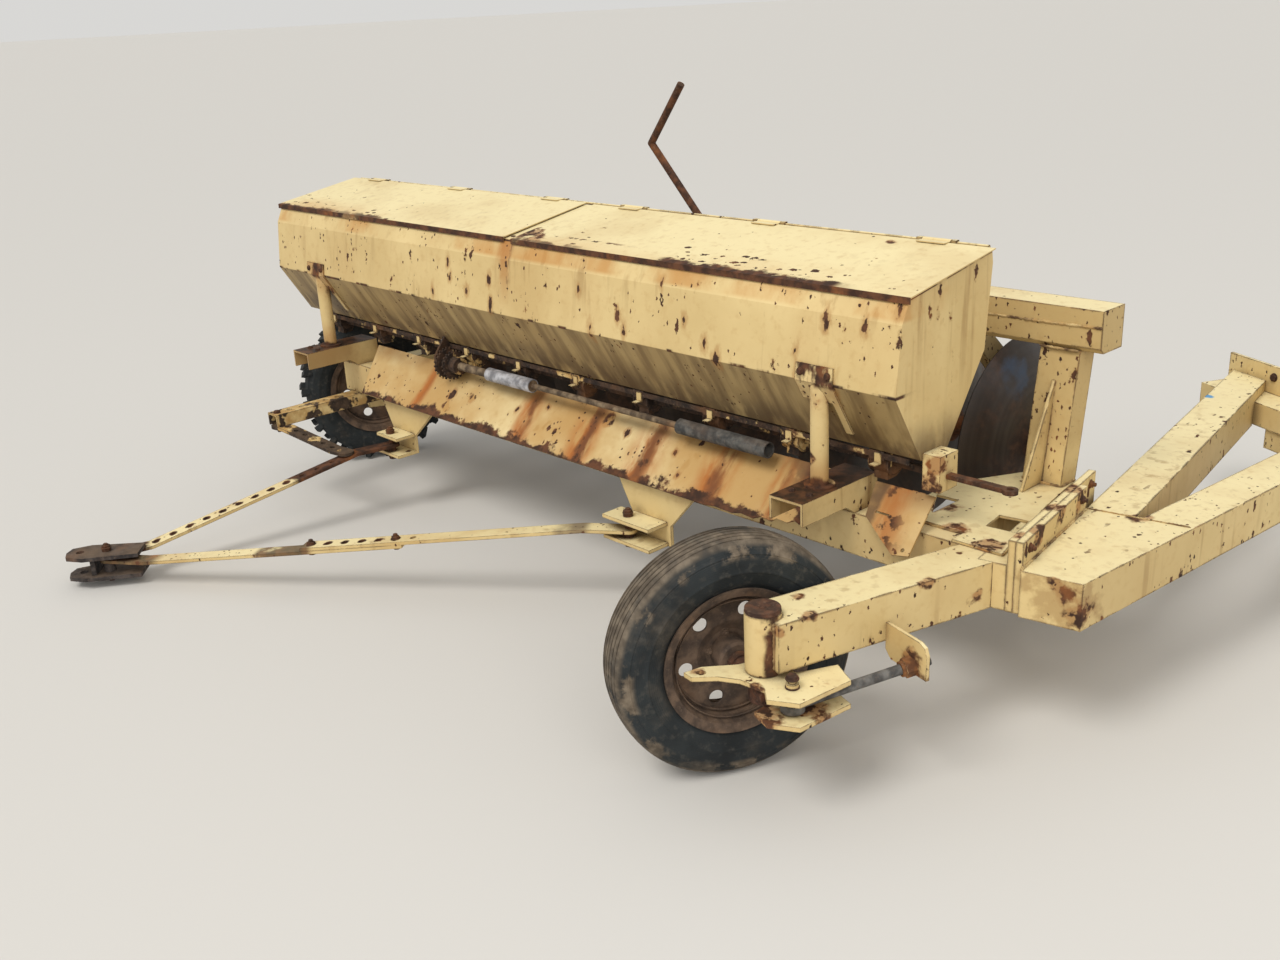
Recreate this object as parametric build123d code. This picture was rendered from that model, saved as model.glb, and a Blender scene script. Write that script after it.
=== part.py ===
from build123d import *
from math import atan2, cos, degrees, hypot, radians, sin, sqrt, tan
import os

# One-way disc harrow with a seed box along its front beam, in millimetres.
# The sizes below are laid out from the near kingpin: X runs along the beam towards the near end,
# Y runs back to the disc gang, Z runs up from the ground.
# Every piece is moved at the end, so that the origin is the centre of the hitch pin's hole.

# Spacing of the discs and the seed feeds along the beam
disc_count = 9
disc_pitch = 310.0
disc_x = -180.0
last_x = disc_x - disc_pitch * (disc_count - 1)
cup_count = 10
cup_pitch = disc_pitch
cup_x = -164.0
last_cup_x = cup_x - cup_pitch * (cup_count - 1)

# Wheels
tyre_r = 318.0
tyre_w = 148.0
rim_flange_r = 195.0
rim_bead_r = 178.0
rim_well_r = 158.0
rim_t = 6.0
hand_hole_r = 19.0
hand_hole_ring_r = 122.0
hand_holes = 6
hub_r = 48.0
stub_r = 20.0
running_fit = 0.06
far_lugs = 22
far_lug_h = 22.0
axle_turn = 156.0        # plan angle of the wheels' axles, from +X
near_wheel_out = 184.0   # from the kingpin to the tyre's middle, along the axle
axle_trail = 12.0        # from the kingpin to the axle, along the wheel's path
wheel_to_leg = 112.0     # from the tyre's middle to the leg's face
leg_t = 60.0
leg_w = 100.0
leg_reach = 60.0
far_leg_at = (last_x - 237.0, 779.0)
rear_leg_along = 650.0   # along the rear crossbar

# Frame boxes
frame_top = tyre_r + 180.0
box = 125.0
main_y = 632.0
main_x0 = last_x - 240.0
main_x1 = 195.0
inner_w = 80.0
inner_xs = (-5.0, last_x - 120.0)
frame_back = 1215.0
side_w = 75.0
plate_t = 8.0

# Turned end frame with its bolted flanges
end_turn = 9.5
end_at = (292.0, 600.0)
flange_t = 20.0
flange_inner_len = 575.0
flange_outer_len = 450.0
flange_top = frame_top + 67.0
flange_low = frame_top - 126.0
flange_bolt_r = 10.0

# Outrigger behind the flanges, in the turned end frame
base_front = -15.0
base_w = 154.0
base_len = 455.0
beam_w = 128.0
near_beam_turn = 14.7
cross_turn = -27.0
cross_at = (92.0, 2525.0)
beam_reach = cross_at[1] - end_at[1] + 225.0
cross_x0 = -150.0
cross_x1 = 700.0
cross_d = 112.0
cross_low = frame_top - 120.0
cross_high = frame_top - 40.0
hanger_t = 12.0
hanger_top = frame_top + 58.0

# Wheel arm
arm_w = 130.0
arm_turn = 74.0
boss_r = 44.5
boss_low = frame_top - 140.0
boss_high = frame_top + 11.7
kingpin_r = 25.0
kingpin_cap_r = 43.0
kingpin_cap_t = 9.0

# Steering plates and screw, in the arm's frame: along the arm, and to its near side
pin_at = (10.0, 105.0)
pin_z = tyre_r - 11.0
nut_at = (305.0, 165.0)
nut_z = tyre_r + 34.0
rod_r = 12.5
rod_past_nut = 45.0
eye_r = 29.0
eye_hole_r = 16.0
eye_t = 20.0
steer_pin_r = 8.0
bracket_t = 10.0
bracket_out = 216.0
bracket_low = frame_top - 165.0
bracket_high = frame_top - 75.0
bracket_round = 26.0
knuckle_r = 25.0
knuckle_boss_r = 38.0
steer_t = 12.0

# Rear upper beam and uprights
upper_y = 1180.0
upper_d = 115.0
upper_z0 = frame_top + 390.0
upper_z1 = upper_z0 + 120.0
upper_x0 = main_x0
upper_x1 = 178.0
upright_w = 120.0
upright_d = 80.0
upright_y = 1130.0
upright_lean = 58.0

# Disc gang
disc_r = 330.0
disc_t = 6.0
disc_dish = 72.0
disc_flat_r = 66.0
gang_y = 1390.0
gang_z = frame_top + 25.0
gang_shaft_r = 20.0
spool_r = 34.0
spool_end_r = 58.0
bearing_after = (0, 4, 7)
bearing_w = 90.0
bearing_r = 66.0
bearing_gap = 5.0

# Hopper section, as depth Y and height above the frame of each fold, front lid edge first
hopper_x0 = last_cup_x - 181.0
hopper_x1 = -20.0
sheet = 3.0
hopper_section = [(577.0, 632.0), (548.0, 571.0), (527.0, 388.0), (645.0, 194.0),
                  (762.0, 198.0), (922.0, 432.0), (944.0, 662.0), (938.0, 694.0)]
hopper_folds = [(y, frame_top + height) for y, height in hopper_section]
mouth_edge = 4.0
mouth_cut = 40.0
lid_split = (hopper_x0 + hopper_x1) / 2 - 30.5
lid_gap = 40.0
lid_over = 9.0
lid_lip = 14.0
lid_seat = 3.0
strip_w = 90.0
strip_t = 2.4
hinge_r = 5.0
hinge_back = 16.0
barrel_r = 9.0
barrel_len = 90.0
barrel_places = (0.12, 0.5, 0.88)
ear_w = 16.0

# Seed feed
cup_w = 64.0
cup_r = 34.0
feed_y = 692.0
feed_z = frame_top + 152.0
feed_bar = 18.0
bar_fit = 0.3

# Drive line in front of the seed cups
drive_y = 620.0
drive_z = feed_z - 32.0
gear_x = cup_x - cup_pitch * 6 - 51.0
gear_hub_r = 32.0
sprocket_rs = (54.0, 48.0)
sleeve_r = 20.0
thin_r = 10.0
tube_r = 24.0
tube_wall = 4.0

# Apron sheet, sloping at forty-five degrees in front of the beam
apron_t = 5.0
apron_y = 527.0
apron_z = frame_top - 63.0
apron_len = 215.0
apron_x0 = last_x + 60.0
apron_x1 = -342.0

# Hopper posts and shelves
post_r = 25.0
post_y = 549.0
post_xs = (hopper_x0 + 300.0, hopper_x1 - 258.0)
foot_r = 43.0
shelf_w = 115.0
shelf_top = frame_top + 93.0
shelf_y0 = 408.0
shelf_y1 = 731.0
shelf_t = 8.0
strap_t = 6.0
pad_t = 6.0

# Drawbar
bar_w = 60.0
bar_t = 12.0
hole_r = 10.0
hitch_at = (-2585.0, -575.0)
hitch_z = 94.0
lug_t = 12.0
lug_web_y = 561.0
lug_reach = 84.0
lug_high = frame_top - 196.0
lug_low = lug_high - 70.0
bar_at_lug = lug_low + 29.0
hole_pitch = 62.0
level_end = 150.0
lap0 = 760.0
lap1 = 1130.0
bolt_fit = 0.4
bolt_head_r = 16.0

# Hitch
hitch_t = 14.0
hitch_low = 30.0
pin_out = 92.0
pin_hole_r = 14.0
spacer_r = 20.0
pull_turn = degrees(atan2(-0.78, -0.62))

# Side channel and brace
channel_x = last_x - 165.0
channel_w = 70.0
channel_h = 50.0
channel_t = 7.0
channel_y0 = 240.0
channel_pitch = 55.0
brace_share = 0.83


def prism_x(points, x0, x1):
    """A YZ outline pushed along X."""
    face = Plane.YZ * Polygon(*points, align=None)
    return Pos(x0, 0, 0) * extrude(face, amount=x1 - x0, dir=(1, 0, 0))


def prism_y(points, y0, y1):
    """An XZ outline pushed along Y."""
    face = Plane.XZ * Polygon(*points, align=None)
    return Pos(0, y0, 0) * extrude(face, amount=y1 - y0, dir=(0, 1, 0))


def prism_z(points, z0, z1):
    """An XY outline pushed up."""
    return Pos(0, 0, z0) * extrude(Polygon(*points, align=None), amount=z1 - z0, dir=(0, 0, 1))


def block(x0, x1, y0, y1, z0, z1):
    """A box by its two corners."""
    return Pos((x0 + x1) / 2, (y0 + y1) / 2, (z0 + z1) / 2) * Box(x1 - x0, y1 - y0, z1 - z0)


def rod_between(a, b, radius):
    """A round bar from point a to point b."""
    along = Vector(*b) - Vector(*a)
    plane = Plane(origin=tuple(a), z_dir=tuple(along.normalized()))
    return extrude(plane * Circle(radius), amount=along.length)


def bar_z(x, y, z0, z1, radius):
    """A round bar or drill along Z."""
    return Pos(x, y, (z0 + z1) / 2) * Cylinder(radius, z1 - z0)


def bar_x(x0, x1, y, z, radius):
    """A round bar or drill along X."""
    return Pos((x0 + x1) / 2, y, z) * Rot(0, 90, 0) * Cylinder(radius, x1 - x0)


def turning(points):
    """A solid turned about X, from its outline as X and radius."""
    return revolve(Polygon(*points, align=None), axis=Axis.X)


def turned(x, y, angle):
    """The frame of a piece that is turned in plan about its own corner."""
    return Pos(x, y, 0) * Rot(0, 0, angle)


parts = {}

# Frame: the main beam and the beams behind it
frame_low = frame_top - box
parts["main_beam"] = block(main_x0, main_x1, main_y, main_y + box, frame_low, frame_top)
end_frame = turned(end_at[0], end_at[1], end_turn)
side_beam = end_frame * block(-flange_t - side_w, -flange_t, 0, flange_inner_len, frame_low, frame_top)
rear_beams = [side_beam - parts["main_beam"]]
for x in inner_xs:
    rear_beams.append(block(x, x + inner_w, main_y + box, frame_back, frame_low, frame_top))
parts["rear_beams"] = Compound(children=rear_beams)

# Corner plate on top of the beams, with its two cut-outs
corner = [(90, 632), (236, 632), (154, 991), (118, 1206), (-12, 1208), (-137, 979), (-137, 690), (90, 690)]
triangle = [(-119, 872), (-47, 872), (-51, 750)]
diamond = [(109, 762), (95, 848), (176, 862), (192, 770)]
corner_plate = prism_z(corner, frame_top, frame_top + plate_t)
for cut in (triangle, diamond):
    corner_plate -= prism_z(cut, frame_top - 1, frame_top + plate_t + 1)
parts["corner_plate"] = corner_plate


def flange(x0, length):
    """One flange plate with a bolt hole near each corner."""
    plate = block(x0, x0 + flange_t, 0, length, flange_low, flange_top)
    for y in (40, length - 40):
        for z in (flange_low + 30, flange_top - 26):
            plate -= bar_x(x0 - 1, x0 + flange_t + 1, y, z, flange_bolt_r)
    return plate


parts["flange_inner"] = end_frame * flange(-flange_t, flange_inner_len)

# Rear crossbar: a low box with a drilled plate along its back
cross_frame = turned(cross_at[0], cross_at[1], cross_turn)
crossbar = block(cross_x0, cross_x1, -cross_d, 0, cross_low, cross_high)
crossbar += block(cross_x0, cross_x1, 0, hanger_t, cross_low, hanger_top)
crossbar += block(170, 260, -cross_d + 10, -10, cross_low - 70, cross_low)
for x in (70, 145, 220, 295):
    crossbar -= Pos(x, hanger_t / 2, hanger_top - 38) * Rot(90, 0, 0) * Cylinder(9, hanger_t + 2)
parts["rear_crossbar"] = cross_frame * crossbar

# Outrigger: outer flange, base block and two beams that spread back to the crossbar
base_end = base_w + (base_len - base_front) * tan(radians(near_beam_turn))
base_points = [(0, base_front), (base_w, base_front), (base_end, base_len), (0, base_len)]
base = Pos(flange_t, 0, 0) * prism_z(base_points, frame_low, frame_top)
far_beam = block(flange_t, flange_t + beam_w, base_len - 10, beam_reach, frame_low, frame_top)
near_frame = Pos(flange_t + base_w, base_front, 0) * Rot(0, 0, -near_beam_turn)
near_beam = near_frame * block(-beam_w, 0, base_len, beam_reach, frame_low, frame_top)
outrigger = end_frame * (flange(0, flange_outer_len) + base + far_beam + near_beam)
outrigger -= cross_frame * block(-2000, 2000, 0, 900, 0, 1000)
outrigger -= cross_frame * block(cross_x0, cross_x1, -cross_d, 1, 0, cross_high)
parts["outrigger"] = outrigger

# Wheel arm with its kingpin boss
arm_frame = Rot(0, 0, arm_turn)
arm = arm_frame * block(0, 800, -arm_w / 2, arm_w / 2, frame_low, frame_top)
arm += bar_z(0, 0, boss_low, boss_high, boss_r)
arm -= block(-500, 1000, main_y, 2000, 0, 1000)
arm -= bar_z(0, 0, boss_low - 1, boss_high + 1, kingpin_r + running_fit)
arm -= end_frame * block(-flange_t, 500, -300, 900, 0, 1000)
arm -= end_frame * block(-flange_t - side_w, 0, 0, 900, 0, 1000)
parts["wheel_arm"] = arm

# Screw bracket on the arm's near side, with the nut welded to it
pin_point = Vector(pin_at[0], -pin_at[1], pin_z)
nut_point = Vector(nut_at[0], -nut_at[1], nut_z)
along_rod = (nut_point - pin_point).normalized()
rod_start = pin_point + along_rod * (eye_r - 3)
rod_end = nut_point + along_rod * rod_past_nut
bracket_points = [(-arm_w / 2, bracket_high), (-bracket_out + bracket_round, bracket_high),
                  (-bracket_out + bracket_round * 0.3, bracket_high - bracket_round * 0.3),
                  (-bracket_out, bracket_high - bracket_round), (-bracket_out, bracket_low),
                  (-arm_w / 2 - 20, bracket_low), (-arm_w / 2, bracket_low + 20)]
bracket = prism_x(bracket_points, nut_at[0], nut_at[0] + bracket_t)
rod_hole = rod_between(nut_point - along_rod * 60, rod_end, rod_r + running_fit)
nut_plane = Plane(origin=tuple(nut_point - along_rod * 22), z_dir=tuple(along_rod))
nut = extrude(nut_plane * RegularPolygon(24, 6), amount=26)
parts["screw_bracket"] = arm_frame * (bracket + nut - rod_hole)

# Screw rod with its eye
screw = rod_between(rod_start, rod_end, rod_r)
screw += bar_z(pin_point.X, pin_point.Y, pin_z - eye_t / 2, pin_z + eye_t / 2, eye_r)
screw -= bar_z(pin_point.X, pin_point.Y, pin_z - 40, pin_z + 40, eye_hole_r)
parts["screw_rod"] = arm_frame * screw

# Knuckle: kingpin with its cap, cross tube and stub axle
wheel_frame = turned(0, 0, axle_turn) * Pos(0, axle_trail, tyre_r)
collar_end = near_wheel_out - 62
tube_end = near_wheel_out - 84
cap_low = boss_high + 0.3
knuckle = bar_z(0, 0, tyre_r - knuckle_boss_r, tyre_r + knuckle_r, knuckle_boss_r)
knuckle += bar_z(0, 0, tyre_r, cap_low, kingpin_r)
knuckle += bar_z(0, 0, cap_low, cap_low + kingpin_cap_t, kingpin_cap_r)
knuckle += wheel_frame * bar_x(-62, tube_end, 0, 0, knuckle_r)
knuckle += wheel_frame * bar_x(tube_end, collar_end, 0, 0, 30)
knuckle += wheel_frame * bar_x(collar_end, near_wheel_out + 50, 0, 0, stub_r)
parts["knuckle"] = knuckle

# Steering plates above and below the cross tube, with the screw's pin through both
upper_shape = [(-132, -135), (-102, -140), (-58, -96), (-10, -72), (60, -66), (96, -100), (164, -64),
               (183, 95), (114, 134), (66, 40), (10, 52), (-42, 36), (-62, -20), (-120, -88)]
lower_shape = [(40, -80), (96, -100), (164, -64), (183, 95), (126, 116), (70, 20), (40, 10)]
pin_xy = (arm_frame * Pos(pin_point.X, pin_point.Y, 0)).position
upper_z = tyre_r + knuckle_r
lower_z = tyre_r - knuckle_r - steer_t
steering = prism_z(upper_shape, upper_z, upper_z + steer_t)
steering -= bar_z(0, 0, 0, 900, kingpin_r)
steering -= bar_z(-100, -108, 0, 900, 11)
steering += prism_z(lower_shape, lower_z, lower_z + steer_t)
steering += bar_z(pin_xy.X, pin_xy.Y, lower_z - 10, upper_z + steer_t + 22, steer_pin_r)
steering += bar_z(pin_xy.X, pin_xy.Y, upper_z + steer_t, upper_z + steer_t + 12, 15)
parts["steering_plates"] = steering - bar_z(0, 0, 0, upper_z, knuckle_boss_r)


def tyre(lugs):
    """A tyre about X; lugs is the number of bars on each side of the tread, none for a ribbed tread."""
    half = tyre_w / 2
    shoulder = tyre_r - 26
    crown = tyre_r - far_lug_h if lugs else tyre_r
    wall = tyre_r - rim_flange_r
    side = [(24, rim_bead_r), (16.5, rim_flange_r + 1), (6, rim_flange_r + 19),
            (0, rim_flange_r + wall * 0.415), (4, rim_flange_r + wall * 0.61),
            (18, shoulder), (40, crown - 3), (56, crown)]
    body = turning([(-half + x, r) for x, r in side] + [(half - x, r) for x, r in reversed(side)])
    bar = Rot(0, 0, 24) * block(-4, half - 4, -11, 11, shoulder - 12, tyre_r - 3)
    for i in range(lugs):
        body += Rot(360.0 * i / lugs, 0, 0) * bar
        body += Rot(360.0 * (i + 0.5) / lugs, 0, 0) * Rot(0, 0, 180) * bar
    return body


def wheel():
    """A pressed steel rim, its dished disc with hand holes, and the hub on its stub axle."""
    half = tyre_w / 2
    drop = rim_well_r
    body = turning([(-half + 24, rim_bead_r), (-half + 16, rim_flange_r), (-half + 10, rim_flange_r),
                    (-half + 18, rim_bead_r - rim_t), (-26, drop), (26, drop),
                    (half - 18, rim_bead_r - rim_t), (half - 10, rim_flange_r), (half - 16, rim_flange_r),
                    (half - 24, rim_bead_r), (28, drop + rim_t), (-28, drop + rim_t)])
    body += turning([(6, stub_r + 8), (6, 60), (-12, 90), (-12, drop + 2), (-6, drop + 2), (-6, 92),
                     (14, 62), (14, stub_r + 8)])
    for i in range(hand_holes):
        hole = Rot(360.0 * i / hand_holes + 20, 0, 0) * Pos(0, 0, hand_hole_ring_r)
        body -= hole * Rot(0, 90, 0) * Cylinder(hand_hole_r, 40)
    body += turning([(-56, 0), (-56, hub_r - 6), (-50, hub_r), (6, hub_r), (14, hub_r - 10), (52, hub_r - 14),
                     (58, hub_r - 22), (58, 0)])
    return body - bar_x(-60, 51, 0, 0, stub_r + running_fit)


def from_leg(leg, angle):
    """The place of a tyre's middle beside its leg."""
    out = wheel_to_leg + leg_t / 2
    return (leg[0] + out * cos(radians(angle)), leg[1] + out * sin(radians(angle)))


near_at = (wheel_frame * Pos(near_wheel_out, 0, 0)).position
rear_leg_at = (cross_frame * Pos(rear_leg_along, -cross_d / 2, 0)).position
wheel_table = [  # name, place of the tyre's middle, plan angle from the leg to the wheel, lugs
    ("near", (near_at.X, near_at.Y), axle_turn, 0),
    ("far", from_leg(far_leg_at, axle_turn), axle_turn, far_lugs),
    ("rear", from_leg((rear_leg_at.X, rear_leg_at.Y), axle_turn + 180), axle_turn + 180, 0),
]
for name, at, angle, lugs in wheel_table:
    frame = Pos(at[0], at[1], tyre_r) * Rot(0, 0, angle)
    parts["tyre_" + name] = frame * tyre(lugs)
    parts["rim_" + name] = frame * wheel()

# Legs of the far and the rear wheel, each with its stub axle
for name, at, angle, lugs in wheel_table[1:]:
    top = frame_top if name == "far" else cross_low
    inner = -wheel_to_leg - leg_t
    leg = block(inner, -wheel_to_leg, -leg_w / 2, leg_w / 2, tyre_r - leg_w / 2, top)
    leg += bar_x(-wheel_to_leg - leg_t / 2, 50, 0, tyre_r, stub_r)
    if name == "far":
        leg += block(inner - leg_reach, -wheel_to_leg, -leg_w / 2, leg_w / 2, frame_low + 12, top)
    leg = turned(at[0], at[1], angle) * leg
    if name == "far":
        leg -= parts["main_beam"]
    parts["wheel_leg_" + name] = leg

# Rear upper beam with a chamfered lower edge
parts["upper_beam"] = prism_x([(upper_y, upper_z0 + 14), (upper_y, upper_z1), (upper_y + upper_d, upper_z1),
                               (upper_y + upper_d, upper_z0), (upper_y + 14, upper_z0)], upper_x0, upper_x1)

# Uprights, leaning back, each with a gusset on its front
uprights = []
for x, foot in ((inner_xs[0], frame_top + plate_t), (inner_xs[1] - 20, frame_top)):
    post = prism_x([(upright_y, foot), (upright_y + upright_d, foot),
                    (upright_y + upright_d + upright_lean, upper_z0),
                    (upright_y + upright_lean, upper_z0)], x, x + upright_w)
    post += prism_x([(upright_y - 100, foot), (upright_y + 20, foot), (upright_y + 60, upper_z0 - 90),
                     (upright_y + 42, upper_z0 - 90)], x + 50, x + 60)
    uprights.append(post)
parts["uprights"] = Compound(children=uprights)

# Gang: dished discs on a shaft, with spools between them
sphere_r = ((disc_r - disc_flat_r) ** 2 + disc_dish ** 2) / (2 * disc_dish)


def dish_at(r, shift):
    """The dish's depth at a radius, from a flat centre out to the rim."""
    out = max(r - disc_flat_r, 0.0)
    return disc_dish - sphere_r + sqrt(sphere_r ** 2 - out ** 2) + shift


def dished_disc():
    """One disc about X, its hollow side facing -X, its rim at X zero."""
    middle = (disc_flat_r + disc_r) / 2
    bore = gang_shaft_r + running_fit
    with BuildSketch() as profile:
        with BuildLine():
            Line((disc_dish, bore), (disc_dish, disc_flat_r))
            ThreePointArc((disc_dish, disc_flat_r), (dish_at(middle, 0), middle), (0, disc_r))
            Line((0, disc_r), (-disc_t, disc_r - 5))
            ThreePointArc((-disc_t, disc_r - 5), (dish_at(middle, -disc_t), middle),
                          (disc_dish - disc_t, disc_flat_r))
            Line((disc_dish - disc_t, disc_flat_r), (disc_dish - disc_t, bore))
            Line((disc_dish - disc_t, bore), (disc_dish, bore))
        make_face()
    return revolve(profile.sketch, axis=Axis.X)


one_disc = dished_disc()
parts["discs"] = Compound(children=[
    Pos(disc_x - disc_pitch * i, gang_y, gang_z) * one_disc for i in range(disc_count)])
gang_x0 = last_x - 30
gang_x1 = disc_x + disc_dish + 60
shaft = bar_x(gang_x0, gang_x1, 0, 0, gang_shaft_r)
shaft += bar_x(disc_x + disc_dish, gang_x1 - 20, 0, 0, spool_end_r)
shaft += bar_x(gang_x0 + 10, last_x + disc_dish - disc_t, 0, 0, spool_end_r)
hangers = []
for i in range(disc_count - 1):
    right = disc_x - disc_pitch * i + disc_dish - disc_t
    left = disc_x - disc_pitch * (i + 1) + disc_dish
    mid = (left + right) / 2
    spans = [(left, right)]
    if i in bearing_after:
        spans = [(left, mid - bearing_w / 2 - bearing_gap), (mid + bearing_w / 2 + bearing_gap, right)]
    for s0, s1 in spans:
        shaft += turning([(s0, 0), (s0, spool_end_r), (s0 + 12, spool_end_r), (s0 + 34, spool_r),
                          (s1 - 34, spool_r), (s1 - 12, spool_end_r), (s1, spool_end_r), (s1, 0)])
    if i in bearing_after:
        hanger = prism_x([(upper_y + 20, upper_z0), (upper_y + upper_d, upper_z0),
                          (gang_y + 40, gang_z + 250), (gang_y + 56, gang_z + 30),
                          (gang_y - 40, gang_z + 30), (gang_y - 30, gang_z + 210)], mid - 18, mid + 18)
        hanger += block(mid - 60, mid + 60, upper_y + 16, upper_y + upper_d, upper_z0 - 14, upper_z0)
        hanger += bar_x(mid - bearing_w / 2, mid + bearing_w / 2, gang_y, gang_z, bearing_r)
        hanger -= bar_x(mid - bearing_w, mid + bearing_w, gang_y, gang_z, gang_shaft_r + running_fit)
        hangers.append(hanger)
parts["gang_shaft"] = Pos(0, gang_y, gang_z) * shaft
parts["gang_hangers"] = Compound(children=hangers)

# Hopper: a folded shell, its end plates, and the strip that bridges its mouth under the lids' gap
inner_face = offset(Plane.YZ * Polygon(*hopper_folds, align=None), amount=-sheet, kind=Kind.INTERSECTION)
inside = Pos(hopper_x0, 0, 0) * extrude(inner_face, amount=hopper_x1 - hopper_x0, dir=(1, 0, 0))
front_edge = hopper_folds[0]
back_edge = hopper_folds[7]
mouth_front = front_edge[0] + mouth_edge
mouth_back = back_edge[0] - mouth_edge
mouth = prism_x([(mouth_front, front_edge[1] - mouth_cut), (mouth_front, front_edge[1] + mouth_cut),
                 (mouth_back, back_edge[1] + mouth_cut), (mouth_back, back_edge[1] - mouth_cut)],
                hopper_x0, hopper_x1)
solid_hopper = prism_x(hopper_folds, hopper_x0 + sheet, hopper_x1 - sheet)
parts["hopper_shell"] = solid_hopper - inside - mouth
parts["hopper_ends"] = Compound(children=[
    prism_x(hopper_folds, x, x + sheet) for x in (hopper_x0, hopper_x1 - sheet)])
parts["lid_strip"] = prism_x([front_edge, back_edge, (back_edge[0], back_edge[1] + strip_t),
                              (front_edge[0], front_edge[1] + strip_t)],
                             lid_split - strip_w / 2, lid_split + strip_w / 2)

# Lids with turned front lips, hinged along the rear edge on one rod with its ears
lid_front = (front_edge[0] - 8, front_edge[1] + lid_seat)
lid_back = (back_edge[0] + 2, back_edge[1] + lid_seat)
hinge_y = lid_back[0] + hinge_back
hinge_z = lid_back[1] + 1
hinge = bar_x(hopper_x0 + 20, hopper_x1 - 20, hinge_y, hinge_z, hinge_r)
lid_table = [  # name, left end, right end, extra height
    ("lid_left", hopper_x0 - lid_over, lid_split - lid_gap / 2, 3.0),
    ("lid_right", lid_split + lid_gap / 2, hopper_x1 + lid_over, 0.0),
]
for name, x0, x1, rise in lid_table:
    top = lid_back[1] + rise + sheet
    lid = prism_x([(lid_front[0], lid_front[1] + rise), (lid_back[0], lid_back[1] + rise), (lid_back[0], top),
                   (lid_front[0] - sheet, lid_front[1] + rise + sheet),
                   (lid_front[0] - sheet, lid_front[1] + rise - lid_lip),
                   (lid_front[0], lid_front[1] + rise - lid_lip)], x0, x1)
    for share in barrel_places:
        mid = x0 + (x1 - x0) * share
        lid += bar_x(mid - barrel_len / 2, mid + barrel_len / 2, hinge_y, hinge_z, barrel_r)
        lid += block(mid - barrel_len / 2, mid + barrel_len / 2, lid_back[0] - 20, hinge_y, top - 1, top + 2)
        lid -= bar_x(mid - barrel_len, mid + barrel_len, hinge_y, hinge_z, hinge_r + running_fit)
        for side in (-1, 1):
            ear = mid + side * (barrel_len / 2 + 2 + ear_w / 2)
            hinge += block(ear - ear_w / 2, ear + ear_w / 2, back_edge[0] - 4, hinge_y + 8,
                           hinge_z - 56, hinge_z - 10)
            hinge += block(ear - ear_w / 2, ear + ear_w / 2, hinge_y - 8, hinge_y + 8,
                           hinge_z - 16, hinge_z + 8)
    parts[name] = lid
parts["lid_hinge"] = hinge - solid_hopper

# Hopper posts with bent straps against the front fold, on shelves that reach forward from the beam
fold = Vector(*hopper_folds[2])
slope_dir = (Vector(*hopper_folds[3]) - fold).normalized()
slope_out = Vector(slope_dir.Y, -slope_dir.X)
face_dir = (Vector(*hopper_folds[1]) - fold).normalized()
face_out = Vector(-face_dir.Y, face_dir.X)


def bent_strap(up, down, x0, x1):
    """A strap bent over the hopper's front fold, reaching up its face and down its slope."""
    top = fold + face_dir * up
    low = fold + slope_dir * down
    mitre = (face_out + slope_out) * (strap_t / (1 + face_out.dot(slope_out)))
    outline = [top, fold, low, low + slope_out * strap_t, fold + mitre, top + face_out * strap_t]
    return prism_x([(p.X, p.Y) for p in outline], x0, x1)


posts = []
shelves = []
for x in post_xs:
    high = fold - slope_dir * 200
    low = fold + slope_dir * 200
    above = prism_x([(high.X, high.Y), (low.X, low.Y), (low.X + 300, low.Y + 400),
                     (high.X + 300, high.Y + 400)], x - 90, x + 90)
    post = bar_z(x, post_y, shelf_top, fold.Y + 20, post_r) - above
    post += bar_z(x, post_y, shelf_top, shelf_top + pad_t, foot_r)
    post += bent_strap(46, 66, x - 62, x + 62)
    post += bent_strap(46, 180, x + 38, x + 62)
    posts.append(post - solid_hopper)
    shelf = prism_x([(shelf_y0, shelf_top - 66), (shelf_y0, shelf_top), (shelf_y1, shelf_top),
                     (shelf_y1, frame_top), (main_y, frame_top), (main_y - 40, shelf_top - 66)],
                    x - shelf_w / 2, x + shelf_w / 2)
    shelf -= block(x - shelf_w / 2 + shelf_t, x + shelf_w / 2 - shelf_t, 0, 2000, 0, shelf_top - shelf_t)
    shelves.append(shelf)
parts["hopper_posts"] = Compound(children=posts)
parts["post_shelves"] = Compound(children=shelves)

# Rear carriers of the hopper, from the upper beam
carrier_z = upper_z0 + 40
carrier_y = hopper_folds[5][0] - 22
parts["hopper_carriers"] = Compound(children=[
    block(x - 30, x + 30, carrier_y, upper_y, carrier_z, carrier_z + 50) - solid_hopper
    for x in (inner_xs[1] + 280, inner_xs[0] - 555)])

# Seed cups, shutter rail, feed shaft and its end casting
cup_top = hopper_folds[3][1] + 6
rail_y = feed_y - cup_r - 10
rail_z = feed_z + 26
square_hole = feed_bar + bar_fit * 2
cups = []
rail = block(last_cup_x - 40, cup_x + 104, rail_y, rail_y + 6, rail_z - 8, rail_z + 8)
for i in range(cup_count):
    x = cup_x - cup_pitch * i
    cup = block(x - cup_w / 2, x + cup_w / 2, feed_y - cup_r, feed_y + cup_r, feed_z, cup_top)
    cup += bar_x(x - cup_w / 2, x + cup_w / 2, feed_y, feed_z, cup_r)
    cup += block(x - cup_w / 2 + 10, x + cup_w / 2 - 10, feed_y - 22, feed_y + 22, feed_z - 48, feed_z)
    cup -= Pos(x, feed_y, feed_z) * Box(cup_w + 10, square_hole, square_hole)
    cups.append(cup - solid_hopper)
    rail += block(x - 24, x + 24, rail_y, rail_y + 10, rail_z - 14, rail_z + 12)
parts["seed_cups"] = Compound(children=cups)
parts["shutter_rail"] = rail
feed_half = feed_bar / 2
feed_x0 = last_cup_x - 60
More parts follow.
